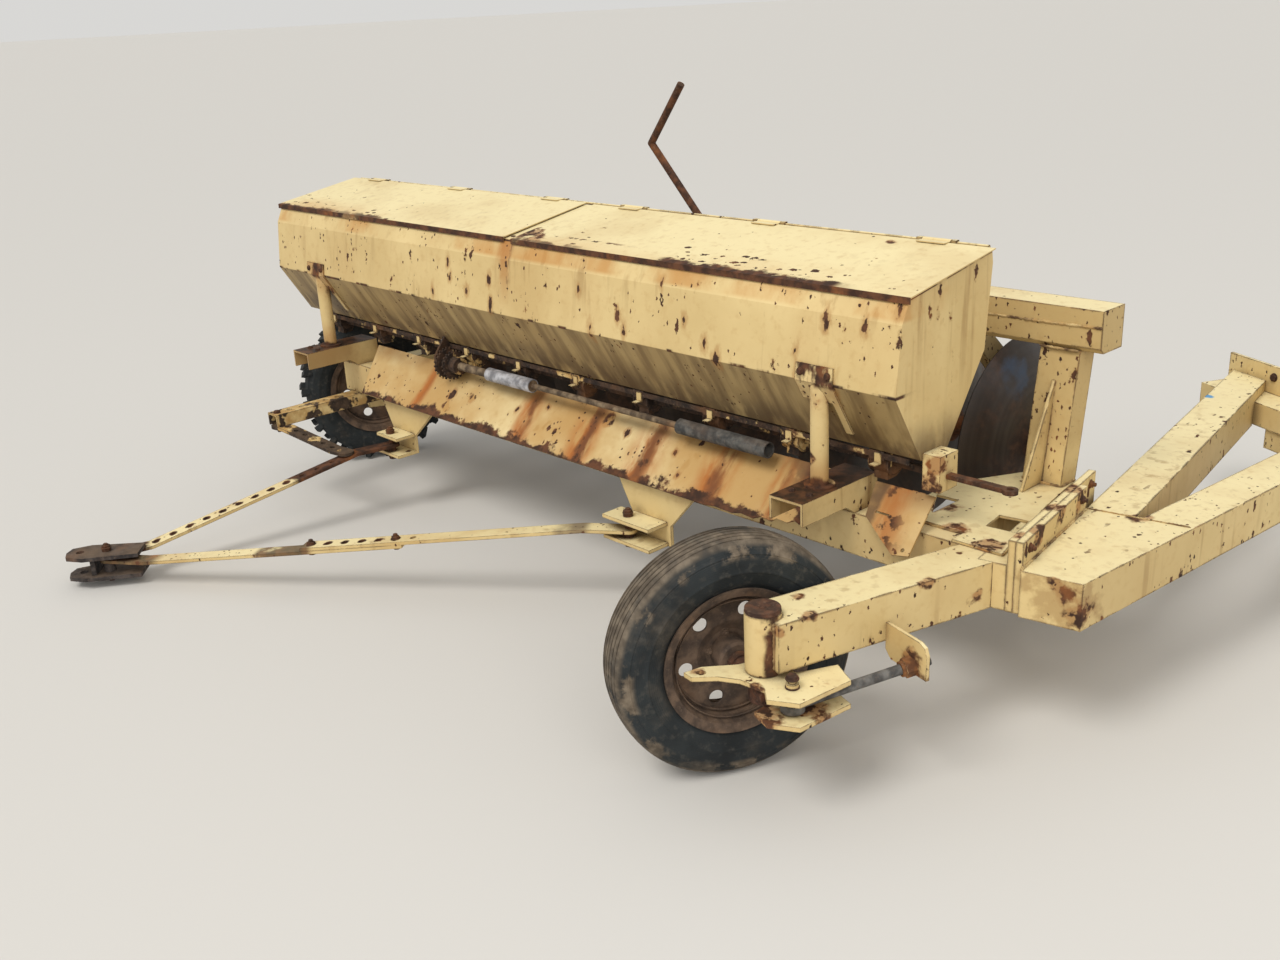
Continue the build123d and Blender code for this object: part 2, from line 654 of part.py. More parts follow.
parts["feed_shaft"] = block(feed_x0, hopper_x1 + 30, feed_y - feed_half, feed_y + feed_half,
                            feed_z - feed_half, feed_z + feed_half)
casting_end = hopper_x1 + 54
casting = block(hopper_x1, casting_end, feed_y - 40, feed_y + 40, feed_z - 40, feed_z + 60)
parts["feed_casting"] = casting - Pos(hopper_x1 + 15, feed_y, feed_z) * Box(50, square_hole, square_hole)
lever_eye = casting_end + 180
lever_arm = block(casting_end, lever_eye - 9, feed_y - 12, feed_y + 12, feed_z - 6, feed_z + 6)
lever_arm += bar_z(lever_eye, feed_y, feed_z - 6, feed_z + 6, 20)
parts["feed_lever"] = lever_arm - bar_z(lever_eye, feed_y, feed_z - 10, feed_z + 10, 9)

# Drive line: hanger with its sprockets, thin shaft, and the sleeve tube left open at its end
hanger_x = gear_x - 60
drive = prism_x([(drive_y - 40, drive_z - 30), (drive_y + 30, drive_z - 40), (feed_y + 40, feed_z + 10),
                 (feed_y + 40, cup_top), (drive_y + 13, cup_top + 20), (drive_y - 40, drive_z + 30)],
                hanger_x, hanger_x + 10)
drive -= solid_hopper
drive -= Pos(hanger_x + 5, feed_y, feed_z) * Box(20, square_hole, square_hole)
drive -= Pos(hanger_x + 5, rail_y + 3, rail_z) * Box(20, 7, 18)
drive += bar_x(gear_x - 64, gear_x + 50, drive_y, drive_z, gear_hub_r)
drive += bar_x(gear_x - 36, gear_x - 26, drive_y, drive_z, sprocket_rs[0])
drive += bar_x(gear_x + 4, gear_x + 14, drive_y, drive_z, sprocket_rs[1])
parts["drive_head"] = drive
sleeve_x0 = gear_x + 225
sleeve_x1 = gear_x + 475
tube_x0 = cup_x - 718
tube_x1 = cup_x - 356
shaft_line = bar_x(gear_x + 50, sleeve_x0, drive_y, drive_z, 15)
shaft_line += bar_x(sleeve_x0, sleeve_x1, drive_y, drive_z, sleeve_r)
shaft_line += bar_x(sleeve_x1, tube_x0 + 22, drive_y, drive_z, thin_r)
parts["drive_shaft"] = shaft_line
tube = bar_x(tube_x0, tube_x1, drive_y, drive_z, tube_r)
tube -= bar_x(tube_x0 + 20, tube_x1 + 20, drive_y, drive_z, tube_r - tube_wall)
parts["drive_tube"] = tube - bar_x(tube_x0 - 18, tube_x0 + 22, drive_y, drive_z, thin_r)

# Apron sheet with a lip below, struts behind, and the flap right of the shelf
apron_plane = Plane(origin=(0, apron_y, apron_z), x_dir=(1, 0, 0), z_dir=(0, -1, 1))
torn_edge = [(apron_x1, 40), (-352, 30), (-372, 36), (-392, 24), (-430, 27), (-446, 14), (-486, 18),
             (-510, 6), (-560, 10), (-590, 2), (-660, 5), (-700, 0)]
apron_points = [(apron_x0, 0), (apron_x0 - 79, apron_len), (apron_x1, apron_len)] + torn_edge
flap_points = [(-186, apron_len), (5, apron_len), (12, 37), (-37, 27), (-165, 110)]
skin = apron_t / sqrt(2)
above_sheet = extrude(apron_plane.offset(-apron_t) * Rectangle(9000, 900), amount=120)
strut_points = [(main_y + 2, frame_top), (main_y + 22, frame_top), (apron_y + 163, apron_z + 165),
                (apron_y + 118, apron_z + 125)]
apron = extrude(apron_plane * Polygon(*apron_points, align=None), amount=apron_t, dir=(0, 1, -1))
apron += block(apron_x0 + 20, -720, apron_y + skin, main_y, apron_z - skin, apron_z - skin + apron_t)
for x in (-2300.0, -1400.0, -500.0):
    apron += prism_x(strut_points, x, x + 40) - above_sheet
flap = extrude(apron_plane * Polygon(*flap_points, align=None), amount=apron_t, dir=(0, 1, -1))
flap += prism_x(strut_points, -70, -30) - above_sheet
flap -= apron_plane * Pos(-120, 130, 0) * Box(44, 6, 40)
flap -= apron_plane * Pos(-12, 48, 0) * Cylinder(6, 40)
parts["apron"] = Compound(children=[apron, flap])

# Drawbar lugs under the apron
lug_table = [  # web's top from and to, web's foot from and to, bolt place
    (-1119.0, -763.0, -1050.0, -881.0, -1108.0, -896.0, (-1030.0, 518.0)),
    (-2515.0, -2150.0, -2440.0, -2300.0, -2440.0, -2300.0, (-2385.0, 505.0)),
]
lugs_made = []
web_top = apron_z - skin
for top0, top1, foot0, foot1, plate0, plate1, bolt in lug_table:
    lug = prism_y([(top0, web_top), (top1, web_top), (foot1, lug_high), (foot1, lug_low),
                   (foot0, lug_low), (foot0, lug_high)], lug_web_y, lug_web_y + lug_t)
    for z in (lug_high, lug_low):
        lug += block(plate0, plate1, lug_web_y - lug_reach, lug_web_y, z, z + lug_t)
    lugs_made.append(lug - bar_z(bolt[0], bolt[1], 200, 400, hole_r))
parts["drawbar_lugs"] = Compound(children=lugs_made)
near_bolt = lug_table[0][6]
far_bolt = lug_table[1][6]


def bent_bar(length, z_a, z_b, level_a, level_b):
    """A flat bar along X with round ends, level at both ends and sloping between."""
    low_edge = [(0, z_a), (level_a, z_a), (length - level_b, z_b), (length, z_b)]
    high_edge = [(x, z + bar_t) for x, z in reversed(low_edge)]
    bar = prism_y(low_edge + high_edge, -bar_w / 2, bar_w / 2)
    bar += bar_z(0, 0, z_a, z_a + bar_t, bar_w / 2)
    return bar + bar_z(length, 0, z_b, z_b + bar_t, bar_w / 2)


def plan_frame(a, b):
    """The frame of a bar from plan point a to plan point b, and its length."""
    return turned(a[0], a[1], degrees(atan2(b[1] - a[1], b[0] - a[0]))), hypot(b[0] - a[0], b[1] - a[1])


near_place, near_len = plan_frame(hitch_at, near_bolt)
front = bent_bar(near_len, hitch_z - bar_t, bar_at_lug - bar_t, level_end, level_end)
rear = Pos(0, 0, bar_t) * front - block(-100, lap0, -50, 50, 0, 1000)
front -= block(lap1, 3000, -50, 50, 0, 1000)
for i in range(6):
    front -= bar_z(lap1 - 30 - hole_pitch * i, 0, 0, 1000, hole_r)
for i in range(7):
    rear -= bar_z(lap0 + 30 + hole_pitch * i, 0, 0, 1000, hole_r)
parts["drawbar_near_front"] = near_place * (front - bar_z(0, 0, 0, 1000, hole_r))
parts["drawbar_near_rear"] = near_place * (rear - bar_z(near_len, 0, 0, 1000, hole_r))
far_place, far_len = plan_frame(hitch_at, far_bolt)
far_bar = bent_bar(far_len, hitch_z, bar_at_lug, level_end, level_end)
for s in [0.0, far_len] + [170 + hole_pitch * i for i in range(12)]:
    far_bar -= bar_z(s, 0, 0, 1000, hole_r)
parts["drawbar_far"] = far_place * far_bar

# Hitch: two plates, the spacer between them, and the pin's hole at the front
hitch_frame = turned(hitch_at[0], hitch_at[1], pull_turn)
hitch_up = hitch_z + bar_t
hitch_outline = [(-120, -50), (70, -62), (130, -40), (140, 0), (130, 40), (70, 62), (-120, 50)]
hitch = block(36, 52, -40, 40, hitch_low + hitch_t, hitch_up)
for z in (hitch_low, hitch_up):
    hitch += prism_z(hitch_outline, z, z + hitch_t)
hitch += bar_z(0, 0, hitch_low + hitch_t, hitch_z - bar_t, spacer_r)
hitch -= bar_z(pin_out, 0, 0, 300, pin_hole_r)
hitch -= bar_z(0, 0, 0, 300, hole_r)
parts["hitch"] = hitch_frame * hitch

# Bolts through the hitch and the lugs, each with its head and nut, and a collar under the bar
bolt_table = [  # place, lower face, upper face, collar's height
    (hitch_at, hitch_low, hitch_up + hitch_t, 0.0),
    (near_bolt, lug_low, lug_high + lug_t, bar_at_lug - lug_low - lug_t),
    (far_bolt, lug_low, lug_high + lug_t, bar_at_lug - lug_low - lug_t),
]
bolts = []
for at, z0, z1, collar in bolt_table:
    bolt = bar_z(at[0], at[1], z0 - 20, z1 + 12, hole_r - bolt_fit)
    bolt += bar_z(at[0], at[1], z1, z1 + 11, bolt_head_r)
    bolt += bar_z(at[0], at[1], z0 - 11, z0, bolt_head_r)
    if collar:
        bolt += bar_z(at[0], at[1], bar_at_lug - collar, bar_at_lug, bolt_head_r)
    bolts.append(bolt)
parts["drawbar_bolts"] = Compound(children=bolts)

# Side channel under the beam's far end, and the brace from it to the far bar
channel_low = frame_low - channel_h
half_inner = channel_w / 2 - channel_t
channel = block(channel_x - channel_w / 2, channel_x + channel_w / 2, channel_y0, main_y + box,
                channel_low, frame_low)
channel -= block(channel_x - half_inner, channel_x + half_inner, 200, 1000, 0, frame_low - channel_t)
for i in range(6):
    channel -= bar_z(channel_x, channel_y0 + 22 + channel_pitch * i, 0, 1000, hole_r)
parts["side_channel"] = channel
brace_end = (hitch_at[0] + (far_bolt[0] - hitch_at[0]) * brace_share,
             hitch_at[1] + (far_bolt[1] - hitch_at[1]) * brace_share)
slope_share = (far_len * brace_share - level_end) / (far_len - 2 * level_end)
brace_z = hitch_z + (bar_at_lug - hitch_z) * slope_share
brace_place, brace_len = plan_frame(brace_end, (channel_x, channel_y0 + 22))
brace = bent_bar(brace_len, brace_z + bar_t + 4, channel_low - bar_t, 60, 60)
for i in range(7):
    brace -= bar_z(brace_len - channel_pitch * i, 0, 0, 1000, hole_r)
parts["drawbar_brace"] = brace_place * brace - parts["drawbar_far"]

# Bent control lever on the upper beam
lever_y = upper_y + 30
lever_bend = (-1570.0, lever_y, upper_z1 + 368)
lever_r = 13.0
lever = rod_between((-1226.0, lever_y, upper_z1), lever_bend, lever_r) + Pos(*lever_bend) * Sphere(lever_r)
lever += rod_between(lever_bend, (-1412.0, lever_y, upper_z1 + 569), lever_r)
lever -= block(-3000, 1000, upper_y, 3000, 0, upper_z1)
lever += block(-1270, -1190, lever_y - 22, lever_y + 22, upper_z1, upper_z1 + 16)
parts["control_lever"] = lever

# Move the origin to the hitch pin's hole, and write one file for each piece
pin_place = (hitch_frame * Pos(pin_out, 0, 0)).position
to_origin = Pos(-pin_place.X, -pin_place.Y, -(hitch_low + hitch_up + hitch_t) / 2)
os.makedirs("parts", exist_ok=True)
for name, piece in parts.items():
    export_step(to_origin * piece, "parts/" + name + ".step")
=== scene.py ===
"""The looks of the disc harrow: procedural paint, rust, rubber and steel, and the small parts on the frame.

Places are laid out in millimetres from the near kingpin on the ground, as the machine was measured, and at()
turns them into the row frame's metres. In the looks, a noise's scale is in cells per metre, and heights and
distances are in the row frame's metres. Shares, scales and colours were fitted to the photo.
"""

import math
import random

import bmesh
import bpy
from mathutils import Matrix, Vector


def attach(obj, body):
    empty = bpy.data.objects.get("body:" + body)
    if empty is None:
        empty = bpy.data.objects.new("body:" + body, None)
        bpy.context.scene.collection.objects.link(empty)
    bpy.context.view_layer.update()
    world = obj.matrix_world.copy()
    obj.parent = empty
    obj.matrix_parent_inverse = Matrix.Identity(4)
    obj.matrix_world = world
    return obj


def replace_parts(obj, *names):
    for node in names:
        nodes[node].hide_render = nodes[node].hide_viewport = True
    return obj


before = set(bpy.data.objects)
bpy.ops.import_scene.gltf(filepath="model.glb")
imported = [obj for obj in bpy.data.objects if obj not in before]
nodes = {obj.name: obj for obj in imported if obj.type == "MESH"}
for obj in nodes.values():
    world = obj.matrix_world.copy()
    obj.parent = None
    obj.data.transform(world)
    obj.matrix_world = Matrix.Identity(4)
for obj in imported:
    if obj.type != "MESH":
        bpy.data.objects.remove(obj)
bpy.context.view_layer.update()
random.seed(7)

MM = 0.001
ORIGIN = Vector((-2642.25, -647.02, 75.0))   # the hitch pin, from the kingpin

# Places and sizes that both a look and a piece use, in millimetres
HITCH, NEAR_BOLT, FAR_BOLT = Vector((-2585, -575)), Vector((-1030, 518)), Vector((-2385, 505))   # drawbar's pins
LAP_HOLES = 790, 1100        # first and last hole of the near bar's lap, from the hitch
FAR_HOLES = 170, 852         # first and last hole of the far bar, from the hitch
HOLE_PITCH = 62
GANG_Y, GANG_Z = 1390.0, 523.0   # the discs' shaft


def at(x, y, z):
    """A place in millimetres from the kingpin, in the row frame."""
    return (Vector((x, y, z)) - ORIGIN) * MM


def row_x(x):
    """A distance along the machine in millimetres from the kingpin, in the row frame."""
    return at(x, 0, 0).x


def turned(x, y, z, angle):
    """A piece's own frame, in millimetres, turned in plan."""
    return Matrix.Translation(at(x, y, z)) @ Matrix.Rotation(math.radians(angle), 4, "Z") @ Matrix.Scale(MM, 4)


def rgb(r, g, b):
    """A colour as seen on a screen, 0 to 255, as the shader's linear values."""
    linear = [((c / 255 + 0.055) / 1.055) ** 2.4 if c > 10 else c / 255 / 12.92 for c in (r, g, b)]
    return (*linear, 1.0)


# Paint and what lies on it, with a painted highlight for faces that turn up and painted shade for crevices
CREAM = rgb(203, 177, 122)
PALE = rgb(219, 195, 140)
TOP_HIGHLIGHT = rgb(236, 223, 175)
TAN = rgb(184, 148, 92)
STAIN = rgb(150, 116, 68)
CREVICE_DIRT_AND_SHADE = rgb(92, 68, 46)

# Rust, soil, rubber and blades, with painted sheen for the blades; a pair is a dark and a light tone
RUST_DARK = rgb(56, 36, 25)
RUST_MID = rgb(98, 62, 40)
RUST_ORANGE = rgb(152, 92, 44)
RUST_DUST = rgb(132, 112, 94)
SOIL = rgb(112, 92, 72)
MUD = rgb(92, 80, 66), rgb(134, 120, 102)
RUBBER = rgb(24, 28, 30), rgb(40, 45, 47)
RUBBER_FADED = rgb(86, 82, 75)
BLADE = rgb(56, 48, 42), rgb(70, 61, 54)
BLADE_RUST = rgb(64, 44, 34), rgb(104, 72, 52)
BLADE_PAINTED_SHEEN = rgb(98, 98, 102)
BLADE_BLUE_SHEEN = rgb(70, 94, 124)

# Stains of single places, and painted shade on some: under the lids' edge (with rust), over the box's lower slope,
# along the apron's top, on the flap's left side and on the frame's upper sides
UNDER_LID_RUST_AND_SHADE = rgb(186, 132, 66)
LID_GAP = rgb(172, 116, 58)
LID_STAIN = rgb(196, 142, 76)
SLOPE_SHADE = rgb(146, 121, 77)
BOX_RUNS = rgb(96, 72, 42)
BOX_BOTTOM = rgb(74, 54, 34)
BOX_HALO = rgb(164, 118, 64)
APRON_TINT = rgb(180, 138, 76)
APRON_RUN = rgb(168, 98, 36)
APRON_CORE = rgb(88, 50, 28)
APRON_TOP_SHADE = rgb(120, 88, 54)
APRON_HALO = rgb(150, 96, 46)
FLAP_RUST = rgb(164, 100, 42)
FLAP_SHADE = rgb(84, 62, 44)
BASE_FACE = rgb(164, 132, 84)
BLUE_DAB = rgb(84, 146, 190)
POST_FOOT = rgb(168, 118, 62)
POST_STRAP = rgb(160, 108, 56)
SHELF_STAIN = rgb(140, 104, 62)
SHELF_RUST = rgb(52, 37, 26), rgb(94, 62, 40)
BAR_PATCH = rgb(112, 96, 78)
FRAME_SHADE = rgb(160, 130, 82)


class Look:
    """One material's node tree, with short calls for the nodes used here."""

    def __init__(self, name):
        self.mat = bpy.data.materials.new(name)
        self.mat.use_nodes = True
        self.tree = self.mat.node_tree
        self.tree.nodes.clear()
        out = self.tree.nodes.new("ShaderNodeOutputMaterial")
        self.bsdf = self.tree.nodes.new("ShaderNodeBsdfPrincipled")
        self.tree.links.new(self.bsdf.outputs[0], out.inputs[0])
        texture = self.tree.nodes.new("ShaderNodeTexCoord")
        self.place = texture.outputs["Object"]
        self.facing = texture.outputs["Normal"]

    def put(self, socket, value):
        """Links another node's output to the socket, or sets the socket's own value."""
        if isinstance(value, bpy.types.NodeSocket):
            self.tree.links.new(value, socket)
        else:
            socket.default_value = value

    def node(self, kind, inputs, out=0, **settings):
        """One output of a new node with these inputs and settings."""
        made = self.tree.nodes.new(kind)
        for key, value in settings.items():
            setattr(made, key, value)
        for key, value in inputs.items():
            self.put(made.inputs[key], value)
        return made.outputs[out]

    def moved(self, stretch, shift):
        """The surface's place, stretched and then shifted."""
        return self.node("ShaderNodeMapping", {"Vector": self.place, "Scale": stretch, "Location": shift})

    def noise(self, scale, detail=4.0, stretch=(1, 1, 1), shift=(0, 0, 0), rough=0.55):
        """Cloudy noise from 0 to 1, about 0.5."""
        return self.node("ShaderNodeTexNoise", {"Vector": self.moved(stretch, shift), "Scale": scale,
                                                "Detail": detail, "Roughness": rough})

    def band(self, value, low, high):
        """0 at low, 1 at high, with a smooth step between them; low may be above high."""
        return self.node("ShaderNodeMapRange", {"Value": value, "From Min": low, "From Max": high},
                         interpolation_type="SMOOTHSTEP")

    def math(self, kind, a, b=0.0):
        return self.node("ShaderNodeMath", {0: a, 1: b}, operation=kind)

    def plus(self, a, b):
        return self.math("ADD", a, b)

    def less(self, a, b):
        return self.math("SUBTRACT", a, b)

    def times(self, *values):
        result = values[0]
        for value in values[1:]:
            result = self.math("MULTIPLY", result, value)
        return result

    def most(self, *values):
        result = values[0]
        for value in values[1:]:
            result = self.math("MAXIMUM", result, value)
        return result

    def length(self, a, b):
        """The length of a vector with these two parts."""
        return self.math("SQRT", self.plus(self.times(a, a), self.times(b, b)))

    def mix(self, share, a, b):
        """Colour a with this share of colour b."""
        return self.node("ShaderNodeMix", {0: share, 6: a, 7: b}, out=2, data_type="RGBA")

    def axis(self, letter):
        """One part of the surface's place."""
        return self.node("ShaderNodeSeparateXYZ", {"Vector": self.place}, out=letter)

    def turn(self, letter):
        """One part of the way the surface faces: 1 or -1 where it faces along that axis."""
        return self.node("ShaderNodeSeparateXYZ", {"Vector": self.facing}, out=letter)

    def up(self):
        return self.turn("Z")

    def sway(self, size, *noise, **more):
        """Noise about 0 that makes an outline ragged; size is its reach to both sides together."""
        return self.times(self.less(self.noise(*noise, **more), 0.5), size)

    def line(self, value, centre, width, soft=0.3):
        """1 where the value is near the centre, 0 beyond the width; soft is the share of the width that is full."""
        return self.band(self.math("ABSOLUTE", self.less(value, centre)), width, width * soft)

    def span(self, x, start, full, fall, end):
        """1 between full and fall along the machine, 0 outside start and end, all in millimetres."""
        return self.times(self.band(x, row_x(start), row_x(full)), self.band(x, row_x(end), row_x(fall)))

    def spot(self, centre, radius, ragged=0.6):
        """1 inside a ragged round patch, 0 outside it."""
        away = self.node("ShaderNodeVectorMath", {0: self.place, 1: centre}, out="Value", operation="DISTANCE")
        wobble = self.sway(radius * ragged * 4, 22.0, 5.0)
        return self.band(self.plus(away, wobble), radius, radius * 0.55)

    def edge(self, radius):
        """1 at an outer edge, falling to 0 at the radius inside it."""
        rounded = self.node("ShaderNodeBevel", {"Radius": radius}, samples=4)
        flat = self.node("ShaderNodeNewGeometry", {}, out="Normal")
        turn = self.node("ShaderNodeVectorMath", {0: rounded, 1: flat}, out="Value", operation="DOT_PRODUCT")
        return self.node("ShaderNodeMapRange", {"Value": turn, "From Min": 1.0, "From Max": 0.71})

    def crevice(self, reach):
        """1 in corners and where pieces meet, 0 in the open."""
        return self.band(self.node("ShaderNodeAmbientOcclusion", {"Distance": reach}, out="AO", samples=4), 0.8, 0.35)

    def worn(self, radius, wear, shift):
        """Bare metal in ragged lengths along the outer edges; the radius stays under half the piece's thickness."""
        edge = self.edge(radius)
        limit = self.less(self.noise(13.0, 7.0, shift=shift, rough=0.65), 0.38 + 0.06 * wear)
        limit = self.times(limit, 7.5)
        return self.times(self.band(self.less(edge, limit), 0.02, 0.14), self.band(edge, 0.04, 0.25))

    def flakes(self, scale, share, size, stretch, shift):
        """Depth inside scattered ragged flakes, below 0 outside them; share is how many cells carry one."""
        wobble = self.node("ShaderNodeTexNoise", {"Vector": self.place, "Scale": scale * 2.2, "Detail": 4.0},
                           out="Color")
        warp = self.node("ShaderNodeVectorMath", {0: wobble, 1: (0.85 / scale,) * 3, 2: self.moved(stretch, shift)},
                         operation="MULTIPLY_ADD")
        cells = self.tree.nodes.new("ShaderNodeTexVoronoi")
        self.put(cells.inputs["Vector"], warp)
        self.put(cells.inputs["Scale"], scale)
        pick = self.node("ShaderNodeSeparateColor", {"Color": cells.outputs["Color"]}, out="Red")
        chosen = self.band(pick, self.less(1.0, share), 1.0)
        radius = self.times(self.math("POWER", chosen, 1.3), size)
        return self.less(radius, cells.outputs["Distance"])

    def marks(self, places, tall):
        """Depth in metres inside upright ragged chips in the front, given as (x, z, radius) in millimetres."""
        flat = self.moved((1, 0, 1 / tall), (0, 0, 0))
        depth = -1.0
        for x, z, radius in places:
            spot = at(x, 0, z)
            away = self.node("ShaderNodeVectorMath", {0: flat, 1: (spot.x, 0, spot.z / tall)}, out="Value",
                             operation="DISTANCE")
            depth = self.most(depth, self.less(radius * MM, away))
        return self.plus(depth, self.sway(0.032, 75.0, 5.0, (1, 0.3, 0.5)))

    def along(self, start, end):
        """Distances in metres along and across a bar laid from start towards end in plan."""
        run, origin = (end - start).normalized(), at(start.x, start.y, 0)
        x = self.less(self.axis("X"), origin.x)
        y = self.less(self.axis("Y"), origin.y)
        along = self.plus(self.times(x, run.x), self.times(y, run.y))
        return along, self.less(self.times(y, run.x), self.times(x, run.y))

    def rings(self, along, across, holes):
        """1 in ragged rings of rust round a bar's holes; holes are the first and the last, in millimetres."""
        first, last = holes[0] * MM, holes[1] * MM
        pitch = HOLE_PITCH * MM
        step = self.math("PINGPONG", self.less(along, first), pitch / 2)
        away = self.plus(self.length(step, across), self.sway(0.02, 60.0, 4.0))
        row = self.line(along, (first + last) / 2, (last - first + pitch) / 2, 0.99)
        return self.times(self.band(away, 0.018, 0.014), row)

    def finish(self, colour, rough, height=None, depth=0.001, metal=0.0, soft=0.0):
        """Sets the surface; soft is the radius that rounds the edges' shading."""
        self.put(self.bsdf.inputs["Base Color"], colour)
        self.put(self.bsdf.inputs["Roughness"], rough)
        self.put(self.bsdf.inputs["Metallic"], metal)
        self.put(self.bsdf.inputs["Specular IOR Level"], 0.35)
        rounded = None
        if soft:
            rounded = self.node("ShaderNodeBevel", {"Radius": soft}, samples=4)
        if height is not None:
            inputs = {"Height": height, "Distance": depth, "Strength": 1.0}
            if rounded is not None:
                inputs["Normal"] = rounded
            rounded = self.node("ShaderNodeBump", inputs)
        if rounded is not None:
            self.put(self.bsdf.inputs["Normal"], rounded)
        return self.mat


def rust_tones(m, shift):
    """The brown tones of bare rusted steel."""
    tone = m.mix(m.band(m.noise(26.0, 6.0, shift=shift), 0.38, 0.66), RUST_DARK, RUST_MID)
    return m.mix(m.times(m.band(m.noise(9.0, 5.0, shift=shift), 0.55, 0.74), 0.7), tone, RUST_ORANGE)


def chip_share(m, seed, chips, low):
    """How much of the paint is chipped: in clusters, and along a frame beam's lower and upper edges."""
    cluster = m.band(m.noise(4.2, 4.0, shift=(seed, 5, seed)), 0.46, 0.64)
    share = m.plus(m.times(cluster, 0.62 * chips), 0.07 * chips)
    if low is None:
        return share
    upper = m.times(m.band(m.axis("Z"), low + 0.095, low + 0.120), m.band(m.up(), 0.5, 0.2))
    edges = m.most(m.band(m.axis("Z"), low + 0.045, low), m.times(upper, 0.8))
    return m.plus(share, m.times(edges, m.band(m.noise(3.5, 4.0), 0.30, 0.55), 0.75))


def painted(name, seed, chips, streaks, grime_and_shade, wear, spots=(), extra=None, soft=0.004, rim=0.004, low=None):
    """Faded cream paint with chips, worn edges, rust runs and a dirty film, a painted highlight on faces that turn
    up, and painted shade mixed with a dirty film in crevices.

    spots are rust patches as (x, y, z, radius) in millimetres; rim is how far the worn edges reach in, 0 for thin
    sheets; low is the height of a beam's lower side, where its edges are chipped.
    """
    m = Look(name)
    shift = (seed, seed * 1.7, seed * 0.6)
    colour = m.mix(m.band(m.noise(2.3, 5.0, shift=shift), 0.32, 0.7), CREAM, PALE)
    # Painted highlight: faces that turn up are lightened towards a pale tone
    colour = m.mix(m.times(m.band(m.up(), 0.3, 0.9), 0.75), colour, TOP_HIGHLIGHT)
    colour = m.mix(m.times(m.band(m.noise(40.0, 6.0, shift=shift), 0.5, 0.78), 0.35), colour, TAN)
    film = m.times(m.band(m.noise(2.9, 7.0, stretch=(1, 1, 0.6), shift=shift), 0.48, 0.68), 0.42 * grime_and_shade)
    colour = m.mix(film, colour, TAN)
    runs = m.times(m.band(m.noise(2.4, 5.0, stretch=(10, 10, 0.7), shift=shift), 0.54, 0.68),
                   m.band(m.noise(1.9, 3.0, shift=(seed + 3, 0, seed)), 0.44, 0.62), streaks)
    colour = m.mix(runs, colour, STAIN)
    # Painted shade with a dirty film: corners and places where pieces meet are darkened
    crevice_shade_and_dirt = m.times(m.crevice(0.045), m.band(m.noise(8.0, 5.0, shift=shift), 0.28, 0.56), 0.85 * grime_and_shade)
    colour = m.mix(crevice_shade_and_dirt, colour, CREVICE_DIRT_AND_SHADE)
    share = chip_share(m, seed, chips, low)
    big = m.flakes(30.0, share, 0.30, (1, 1, 0.38), shift)
    small = m.flakes(82.0, share, 0.36, (1, 1, 0.6), shift)
    halo = m.times(m.band(big, -0.13, 0.04), m.band(m.noise(9.0, 3.0, shift=shift), 0.35, 0.6), 0.55)
    colour = m.mix(halo, colour, STAIN)
    bare = m.most(m.band(big, 0.0, 0.05), m.band(small, 0.0, 0.07))
    if rim:
        bare = m.most(bare, m.worn(rim, wear, shift))
    for x, y, z, radius in spots:
        patch = m.spot(at(x, y, z), radius * MM)
        colour = m.mix(m.times(patch, 0.65), colour, RUST_ORANGE)
        bare = m.most(bare, m.times(patch, m.band(m.noise(34.0, 5.0, shift=shift), 0.44, 0.54)))
    if extra:
        colour, bare = extra(m, colour, bare)
    colour = m.mix(bare, colour, rust_tones(m, shift))
    rough = m.plus(m.times(bare, 0.3), 0.55)
    height = m.less(m.times(m.noise(60.0, 4.0, shift=shift), 0.22), m.times(bare, 0.6))
    return m.finish(colour, rough, height, 0.0009, soft=soft)


def rusted(name, seed, dark=RUST_DARK, mid=RUST_MID, warm=RUST_ORANGE, paint=0.0, dust=0.3, grain=34.0):
    """Bare rusted steel; paint is how much old cream paint is left on it."""
    m = Look(name)
    shift = (seed, seed * 0.8, seed * 1.9)
    colour = m.mix(m.band(m.noise(grain, 7.0, shift=shift), 0.36, 0.68), dark, mid)
    colour = m.mix(m.times(m.band(m.noise(8.0, 5.0, shift=shift), 0.52, 0.76), 0.75), colour, warm)
    colour = m.mix(m.times(m.band(m.noise(120.0, 3.0, shift=shift), 0.55, 0.75), 0.3), colour, RUST_DUST)
    soiled = m.times(m.band(m.up(), 0.4, 1.0), m.band(m.noise(5.0, 4.0, shift=shift), 0.3, 0.7), dust)
    colour = m.mix(soiled, colour, SOIL)
    if paint:
        limit = 0.62 - 0.3 * paint
        left = m.times(m.band(m.noise(12.0, 6.0, shift=(seed, 2, 4)), limit, limit + 0.04),
                       m.band(m.edge(0.006), 0.5, 0.1))
        colour = m.mix(left, colour, m.mix(m.band(m.noise(20.0), 0.4, 0.7), TAN, PALE))
    height = m.plus(m.noise(grain * 2, 6.0, shift=shift), m.times(m.noise(190.0, 3.0), 0.4))
    return m.finish(colour, 0.86, height, 0.0012, soft=0.002)


